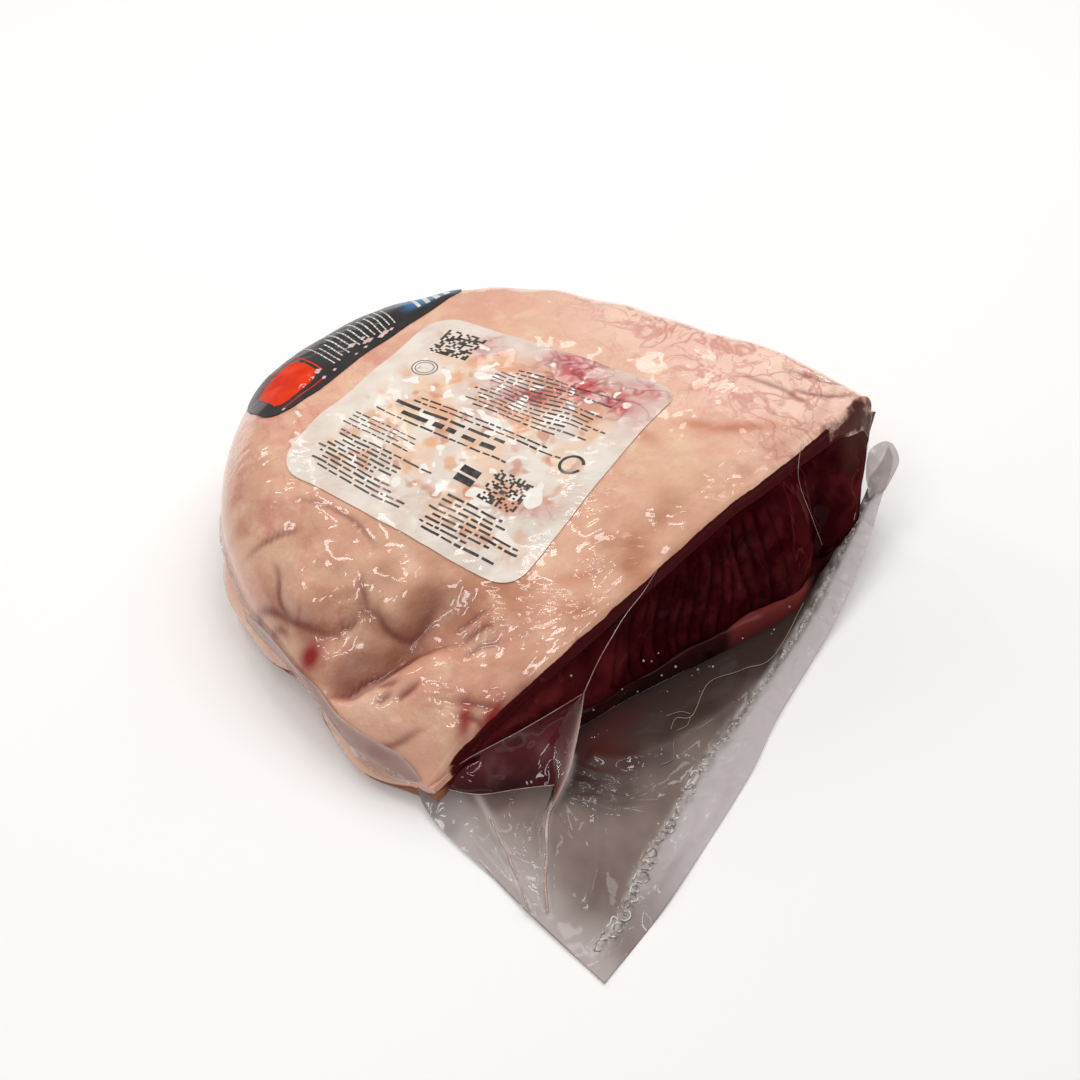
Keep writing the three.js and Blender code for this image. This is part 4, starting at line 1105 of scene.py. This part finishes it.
# Specks and bubbles along the juice: plan point, height and radius.
SPECKS = [
    (71.4, -48, 26, 0.5), (79.6, -21, 18.6, 0.45), (80.8, -18, 16.8, 0.4), (81, -15, 19.2, 0.35),
    (84, -8, 7.8, 0.55), (89, -1, 4.6, 0.5), (78, -43, 7.6, 0.5), (83, -14, 6.8, 0.4), (82, -25, 6, 0.35),
    (86, 12, 5.5, 0.35), (90, 22, 4.5, 0.4), (93, 44, 8.2, 0.6), (98, 60, 9.6, 0.6), (95, 34, 4.6, 0.35),
    (76, -36, 12, 0.35), (74, -41, 16, 0.3), (79, -30, 9, 0.35), (87, 30, 14, 0.3), (91, 5, 3.2, 0.4),
]


def specks_piece(material):
    rng = np.random.default_rng(4)
    specks = Strands()
    for x, y, z, radius in SPECKS:
        specks.speck((x, y, z), radius)
    for _ in range(18):
        y = rng.uniform(-70, 60)
        x = float(cut_reach(y)) + abs(rng.normal(0, 4.5)) + 1
        z = tail_surface(np.array([x]), np.array([y]))[0][0]
        specks.speck((x, y, z), rng.uniform(0.12, 0.24))
    specks.piece("juice_bubbles", material)


def over_tail(route, lift, steps):
    plan = curve(route, np.linspace(0, 1, steps))
    return np.column_stack([plan, tail_surface(plan[:, 0], plan[:, 1])[0] + lift])


def hair_piece(material):
    hairs = Strands()
    for route, steps, radius in (
        ([(94, 52), (102, 26), (98, 13), (94, 0), (100, -15), (97, -20), (99, -25)], 90, 0.13),
        ([(99, -15), (96, -17), (94, -22)], 20, 0.1), ([(100, -16), (102, -20), (101, -24)], 20, 0.1),
        ([(104, -29), (108, -33), (107, -38)], 20, 0.11),
    ):
        hairs.add(over_tail(route, 0.4, steps), radius)
    hairs.piece("fine_threads", material)


# Film round the near pocket of juice: the pocket's upper and lower edge, the edges of the flap along
# the near wall, and the edges of the web that stands beside the pocket. Plan point and height.
POCKET_TOP = [(62.5, -105.5, 11.5), (67, -96, 14), (69, -88, 16), (73, -74, 19), (75, -60, 19.5), (76, -47, 19)]
POCKET_FOOT = [(61.5, -106.2, 10.5), (69.5, -100, 7), (77, -93, 5.8), (84, -81, 5), (90, -72, 5)]
FLAP_INNER = [
    (-31, -116, 20), (-18, -116.2, 24), (-7, -116.2, 25), (4, -116.2, 23), (15, -115.2, 23), (22, -115.2, 22),
    (29, -115.2, 20), (38, -113.2, 19), (46, -110.2, 18), (54, -107.4, 16.6), (60, -106.4, 13.4), (63, -106.6, 11.4),
]
FLAP_OUTER = [
    (-27, -117.2, 19), (-14, -117.4, 20), (-2, -117, 20.6), (5, -117, 20), (12, -117, 19.6), (19, -117, 18),
    (25, -117, 15.6), (32, -117, 14), (38, -116.6, 12.6), (47, -114.4, 12), (54, -112, 9.6), (61, -108, 9.4),
]
WEB_INNER = [(76, -47, 19), (77, -56, 14), (82, -65, 10), (90, -72, 5)]
WEB_OUTER = [(76, -46, 19), (79, -50, 12), (86, -59, 10), (92, -68, 8), (96, -79, 4)]
APRON_CORNER = (60.6, -107.2, 9.0)
APRON_EDGE = [APRON_CORNER, (66.0, -109.0, 3.4), (77, -109.4, 1.6), (90, -108.2, 1.2), (104, -106.6, 0.4)]
APRON_END = [POCKET_FOOT[-1], (94, -80, 1.6), (98, -90, 0.9), (101, -99, 0.6), APRON_EDGE[-1]]
TENT_LINE = [(70, -8, 49.5), (72, -16, 46), (73, -25, 42), (74.5, -33, 37), (75.5, -40, 30), (76, -46, 19)]


def gathers_piece(material):
    """Long folds where the film is gathered, and the edges of the films round the pocket."""
    folds = Strands()
    t = np.linspace(0, 1, 60)
    body = 0.55 + 0.25 * noise(t * 9, 0.5, 1.0)
    folds.add(over_tail([(90, -67), (95, -78), (100, -84), (107, -90), (113, -96), (121, -102)], 0.2, 60), body)
    folds.add(over_tail([(78, -94), (84, -95), (91, -97), (98, -99), (109, -103), (117, -106)], 0.1, 60), body * 0.7)
    for route, radius in (
        (TENT_LINE, mix(0.08, 0.2, t)), (WEB_OUTER, 0.2), (POCKET_TOP, 0.13), (FLAP_INNER, 0.16), (FLAP_OUTER, 0.2),
        (POCKET_FOOT, 0.2), ([(68.5, 66, 61.5), (75, 59, 53), (83, 62, 36), (86, 69, 19)], 0.1),
        ([(72, 104, 58), (80, 96, 38), (84, 90, 30), (88, 84, 24)], 0.1),
    ):
        folds.add(curve(route, t), radius)
    folds.piece("film_folds", material)


def film_sheet(name, borders, steps, ripple, material, fields):
    """A single layer of film between four border curves."""
    points = coons(*borders, *(np.linspace(0, 1, n) for n in steps)).reshape(-1, 3)
    inner = np.outer(*(np.sin(np.linspace(0, math.pi, n)) for n in steps)).ravel()
    points[:, 2] += ripple * inner**0.5 * noise(points[:, 0] / 4, points[:, 1] / 4, 9.0)
    mesh_piece(name, points, [grid_quads(*steps)], material, None, fields(*points.T))


def pocket_pieces(film, juice, web):
    """The film from the pocket to the empty end, the film over the pocket, the web and the flap."""
    film_sheet(
        "near_apron", (POCKET_FOOT, APRON_EDGE, [POCKET_FOOT[0], APRON_CORNER], APRON_END), (70, 30), 0.5, film,
        lambda x, y, z: tail_fields(x, y, *tail_surface(x, y)[1]),
    )
    film_sheet(
        "pocket_film", (POCKET_TOP, POCKET_FOOT, [POCKET_TOP[0], POCKET_FOOT[0]], WEB_INNER), (80, 26), 0.5, juice,
        lambda x, y, z: {
            "pocket": smooth(4, 14, z) * 0.9, "band": 0 * x, "wrinkle": np.ones(len(x)),
            "pale": blobs(x, y, [(75, -80, 4, 9, 0, 0.7), (80, -72, 3, 6, 0, 0.4)]),
        },
    )
    film_sheet(
        "standing_film",
        (WEB_INNER, WEB_OUTER, [WEB_INNER[0], WEB_OUTER[0]], [WEB_INNER[-1], (94, -76, 4), WEB_OUTER[-1]]),
        (60, 14), 0.5, web, lambda *_: {"edge": np.tile(np.linspace(0, 1, 14) ** 4, 60)},
    )
    film_sheet(
        "near_flap",
        (FLAP_INNER, FLAP_OUTER, [FLAP_INNER[0], FLAP_OUTER[0]], [FLAP_INNER[-1], FLAP_OUTER[-1]]),
        (120, 10), 0.8, web, lambda *_: {
            "edge": np.tile(0.55 + 0.45 * np.abs(np.linspace(-1, 1, 10)) ** 3, 120),
        },
    )


def corner_piece(material):
    """The far corner of the bag's mouth, turned up into a rounded flap."""
    t = np.linspace(0, 1, 30)
    near_line = curve([(85, 97, 25), (78, 102.6, 29), (71.8, 111.5, 31.5), (71.7, 117, 33)], t)
    far_line = curve([(87, 104, 26.5), (83.8, 115, 30), (80.6, 119, 31.5), (75.7, 121.3, 33)], t)
    rows = [mix(near_line, far_line, s) + [0, 0, 1.2 * math.sin(math.pi * s)] for s in np.linspace(0, 1, 16)]
    points = np.vstack(rows)
    points[:, 2] += 0.5 * noise(points[:, 0] / 3, points[:, 1] / 3, 6.0)
    lip = {"lip": np.full(len(points), 0.5)}
    mesh_piece("bag_corner", points, [grid_quads(len(rows), len(t))], material, None, lip)


# ---- the printed sheets
def rounded_outline(size, radius, corner_steps, side_steps=40):
    """The outline of a sheet with rounded corners, as shares of its sides."""
    width, depth = size
    outline = []
    for cx, cy, quarter in ((1, 1, 0), (0, 1, 1), (0, 0, 2), (1, 0, 3)):
        for k in range(corner_steps + 1):
            angle = (math.pi / 2) * (quarter + k / corner_steps)
            outline.append((
                (mix(radius, width - radius, cx) + radius * math.cos(angle)) / width,
                (mix(radius, depth - radius, cy) + radius * math.sin(angle)) / depth,
            ))
        ax, ay = outline[-1]
        turn = (math.pi / 2) * (quarter + 1)
        length = 1 - 2 * radius / (depth if quarter % 2 else width)
        for step in length * np.arange(1, side_steps) / side_steps:
            outline.append((ax - step * math.sin(turn), ay + step * math.cos(turn)))
    return np.array(outline)


def over_cap(x, y, lift, step=0.5):
    """Points at a height over the cap, along the cap's own slope."""
    slope_x = (cap_height(x + step, y)[1] - cap_height(x - step, y)[1]) / (2 * step)
    slope_y = (cap_height(x, y + step)[1] - cap_height(x, y - step)[1]) / (2 * step)
    steep = lift / np.sqrt(slope_x**2 + slope_y**2 + 1)
    return np.column_stack([x - slope_x * steep, y - slope_y * steep, cap_height(x, y)[1] + steep])


def label_place(a, b):
    c00, c10, c11, c01 = np.array(LABEL_CORNERS, float)
    a, b = a[:, None], b[:, None]
    return mix(mix(c00, c10, a), mix(c01, c11, a), b)


def sticker_place(a, b):
    return mix(curve(STICKER_INNER, a), curve(STICKER_OUTER, a), b[:, None])


def cap_sheet(name, outline, place, lift, material, node, fields):
    """A printed sheet on the cap: rings that shrink to its centre, above and below, and its rim."""
    rings = np.linspace(1, 0.02, 46)
    shares = np.vstack([0.5 + (outline - 0.5) * scale for scale in rings] + [[[0.5, 0.5]]])
    plan = place(*shares.T)
    upper, lower = (over_cap(*plan.T, height) for height in (lift, lift - SHEET_THICKNESS))
    size, count = len(outline), len(shares)
    k = np.arange(size * len(rings)).reshape(len(rings), size)
    faces = [strip(a, b)[:, ::-1] for a, b in zip(k[:-1], k[1:])] + [fan(k[-1], count - 1)[:, ::-1]]
    faces += [f[:, ::-1] + count for f in faces] + [strip(k[0], k[1]) + 2 * count]
    again = np.concatenate([np.arange(count), np.arange(count), k[0], k[0]])
    made = {key: values[again] for key, values in fields(*plan.T, *shares.T).items()}
    points = np.vstack([upper, lower, upper[:size], lower[:size]])
    mesh_piece(name, points, faces, material, node, made, shares[again])


class Print:
    """Printed marks that lie on a sheet, in millimetres along its sides."""

    def __init__(self, place, size, lift, seed):
        self.place, self.size, self.lift = place, size, lift + PRINT_LIFT
        self.rng = np.random.default_rng(seed)
        self.shares, self.faces, self.tones, self.count = [], [], [], 0

    def patch(self, corners, tone):
        """A four-sided mark, followed in small steps."""
        corners = np.array(corners, float)
        sides = [np.linalg.norm(corners[k] - corners[0]) for k in (1, 3)]
        steps = [max(1, math.ceil(side / 2.0)) + 1 for side in sides]
        u, v = np.meshgrid(*(np.linspace(0, 1, n) for n in steps), indexing="ij")
        u, v = u.ravel()[:, None], v.ravel()[:, None]
        spots = mix(mix(corners[0], corners[1], u), mix(corners[3], corners[2], u), v)
        self.shares.append(spots / self.size)
        self.faces.append(grid_quads(*steps, self.count))
        self.tones.append(np.full(len(spots), tone))
        self.count += len(spots)

    def bar(self, x, y, width, height, tone=0.0):
        self.patch([(x, y), (x + width, y), (x + width, y + height), (x, y + height)], tone)

    def words(self, x, y, width, height, tone):
        """A line of short bars, as long as words are."""
        at = x
        while at < x + width - 2 * height:
            word = min(height * self.rng.uniform(1.2, 7.5), x + width - at)
            self.bar(at, y + self.rng.normal(0, 0.04), word, height * self.rng.uniform(0.75, 1.1), tone)
            at += word + height * self.rng.uniform(0.6, 1.3)

    def block(self, count, x, wander, y, pitch, widths, height, tone, fading=0.0):
        for k in range(count):
            left = x + self.rng.uniform(0, wander)
            self.words(left, y + pitch * k, self.rng.uniform(*widths), height, tone + fading * (k % 2))

    def upright_words(self, x, y, length, width, tone):
        """A row of short bars across the sheet."""
        at = y
        while at < y + length - 2 * width:
            word = min(width * self.rng.uniform(1.5, 6.5), y + length - at)
            self.bar(x, at, width, word, tone)
            at += word + width * 0.8

    def ring(self, x, y, radius, thick, tone, turn_from=0, turn_to=360):
        angles = np.radians(np.linspace(turn_from, turn_to, max(6, int((turn_to - turn_from) / 12))))
        for a, b in zip(angles[:-1], angles[1:]):
            corners = ((radius - thick, a), (radius, a), (radius, b), (radius - thick, b))
            self.patch([(x + r * math.cos(turn), y + r * math.sin(turn)) for r, turn in corners], tone)

    def piece(self, name, material, slot):
        plan = self.place(*np.vstack(self.shares).T)
        tones = {"tone": np.concatenate(self.tones)}
        mesh_piece(name, over_cap(*plan.T, self.lift), self.faces, material, None, tones)


def label_marks(material):
    page = Print(label_place, LABEL_SIZE, LABEL_LIFT, 5)
    page.block(10, 7, 6, 7, 1.9, (20, 38), 0.85, 0.15)
    page.block(8, 50, 4, 5, 2.1, (20, 35), 0.95, 0.0)
    for y, height, wide in ((43, 2.2, 36), (47.2, 1.5, 42), (50.8, 0.8, 56), (53.0, 0.8, 48), (40.2, 0.8, 50)):
        page.words(18 + page.rng.uniform(-6, 4), y, wide, height, 0.0)
    page.block(13, 34, 8, 59, 2.0, (24, 50), 0.8, 0.1, 0.3)
    page.block(4, 7, 3, 28, 2.1, (16, 26), 0.65, 0.2)
    for left, low, cells, cell in ((62, 24, 16, 0.85), (9, 78, 15, 1.0)):
        for i, j in np.ndindex(cells, cells):
            if page.rng.random() < 0.5:
                page.bar(left + cell * i, low + cell * j, cell, cell)
    page.bar(52, 26, 6.5, 3.0)
    page.bar(52, 30, 6.5, 3.0)
    page.ring(14, 68, 4.6, 0.4, 0.4)
    page.ring(14, 68, 3.4, 0.3, 0.4)
    page.ring(81, 50, 4.2, 1.0, 0.0, 20, 340)
    page.piece("label_marks", material, "label_paper")


def sticker_marks(material):
    page = Print(sticker_place, STICKER_SIZE, STICKER_LIFT, 8)
    for x in range(9, 32):
        half = 12.5 * max(0.0, 1 - ((x - 20) / 12) ** 4) ** 0.25
        page.bar(x, 19 - half, 1.0, 2 * half)
    for x, y, width, height in ((10, 3.4, 21, 0.6), (10, 34.0, 21, 0.6), (33.4, 8, 0.6, 22)):
        page.bar(x, y, width, height)
    for k in range(13):
        page.upright_words(39 + 2.5 * k, 6 + page.rng.uniform(0, 3), page.rng.uniform(16, 26), 0.6, 1.0)
    for k in range(4):
        page.bar(82 + 4.0 * k, 10, 1.6 + 0.3 * k, 22 - 3 * k, 1.0)
    for _ in range(15):
        x, y, size = (page.rng.uniform(*span) for span in ((6, 66), (2.5, 11), (0.6, 2.0)))
        corners = ((0, -1), (1.4, -0.2), (0.4, 1), (-1, 0.3))
        page.patch([(x + size * right, y + size * up) for right, up in corners], 0.75)
    page.piece("sticker_marks", material, "sticker_print")


def label_fields(x, y, a, b):
    border = np.minimum(np.minimum(a, 1 - a), np.minimum(b, 1 - b))
    return {
        "soak": smooth(0.04, 0.14, border), "wrinkle": cap_fields(x, y)["wrinkle"] * 0.7 + 0.15,
        "red": blobs(a, b, [
            (0.62, 0.93, 0.13, 0.16, 20, 1.0), (0.74, 0.84, 0.24, 0.10, -8, 1.0), (0.60, 0.74, 0.18, 0.06, 20, 0.8),
            (0.90, 0.93, 0.10, 0.06, 0, 0.8), (0.27, 0.90, 0.08, 0.08, 0, 0.5), (0.42, 0.72, 0.08, 0.05, 0, 0.35),
            (0.50, 0.60, 0.14, 0.04, 30, 0.35), (0.85, 0.28, 0.12, 0.03, 20, 0.45),
        ]),
    }


def sticker_fields(x, y, a, b):
    return {"blue": smooth(0.70, 0.80, a) * smooth(0.15, 0.35, b)}


# ---- the surroundings
def floor():
    bpy.ops.mesh.primitive_plane_add(size=8, location=(0, 0, 0))
    made = bpy.context.object
    made.name = "floor"
    made.data.materials.append(floor_look())


def area_light(name, place, size, power):
    """A light that looks at the model's origin."""
    data = bpy.data.lights.new(name, "AREA")
    data.shape = "RECTANGLE"
    data.size, data.size_y = size
    data.energy = power
    light = bpy.data.objects.new(name, data)
    bpy.context.scene.collection.objects.link(light)
    light.location = place
    light.rotation_euler = (-Vector(place)).to_track_quat("-Z", "Y").to_euler()
    return light


def lights():
    area_light("overhead", (-0.15, 0.7, 1.4), (1.1, 1.1), 11.0).visible_glossy = False
    for k, (place, power) in enumerate((
        ((-0.66, 0.57, 0.97), 0.6), ((-1.05, 0.2, 0.75), 1.0), ((-0.2, 1.05, 0.75), 0.7), ((-0.35, -0.2, 1.4), 1.2),
        ((0.45, -0.4, 1.3), 1.2), ((0.1, -0.9, 1.1), 1.2), ((-1.1, -0.4, 0.75), 1.0), ((-0.12, 0.55, 1.35), 0.4),
        ((-0.3, -0.75, 1.1), 1.2), ((0.3, -0.75, 1.3), 1.0), ((-0.6, -0.05, 1.3), 1.0),
    )):
        area_light(f"softbox_{k}", place, (0.1, 0.34), power * 1.12)
    world = bpy.data.worlds.new("soft_room")
    world.use_nodes = True
    colour, strength = world.node_tree.nodes["Background"].inputs[:2]
    colour.default_value, strength.default_value = (1.0, 0.99, 0.98, 1), 0.235
    bpy.context.scene.world = world


def camera():
    data = bpy.data.cameras.new("camera")
    data.lens, data.sensor_width = 36.67, 36
    made = bpy.data.objects.new("camera", data)
    bpy.context.scene.collection.objects.link(made)
    made.location = CAMERA_PLACE
    made.rotation_euler = (Vector(CAMERA_AIM) - made.location).to_track_quat("-Z", "Y").to_euler()
    bpy.context.scene.camera = made


camera()
lights()
floor()
joint = joint_rows()
fat_piece(joint, fat_look())
lean_piece(joint, lean_look())

film, juice = film_look(), juice_look()
juice_piece(joint, juice)
tail_piece(film)
seam_piece(fin_look())
pocket_pieces(film, juice, web_look())
corner_piece(film)

gathers_piece(fold_look())
curls = curl_look()
weld_piece(curls)
specks_piece(curls)
hair_piece(hair_look())
cap_sheet(
    "label_sheet", rounded_outline(LABEL_SIZE, LABEL_ROUNDING, 10), label_place, LABEL_LIFT, label_look(),
    "label", label_fields,
)
label_marks(ink_look())
cap_sheet(
    "sticker_sheet", rounded_outline(STICKER_SIZE, STICKER_ROUNDING, 14), sticker_place, STICKER_LIFT,
    sticker_look(), "sticker", sticker_fields,
)
sticker_marks(sticker_print_look())
bpy.context.scene.view_settings.view_transform = "Standard"
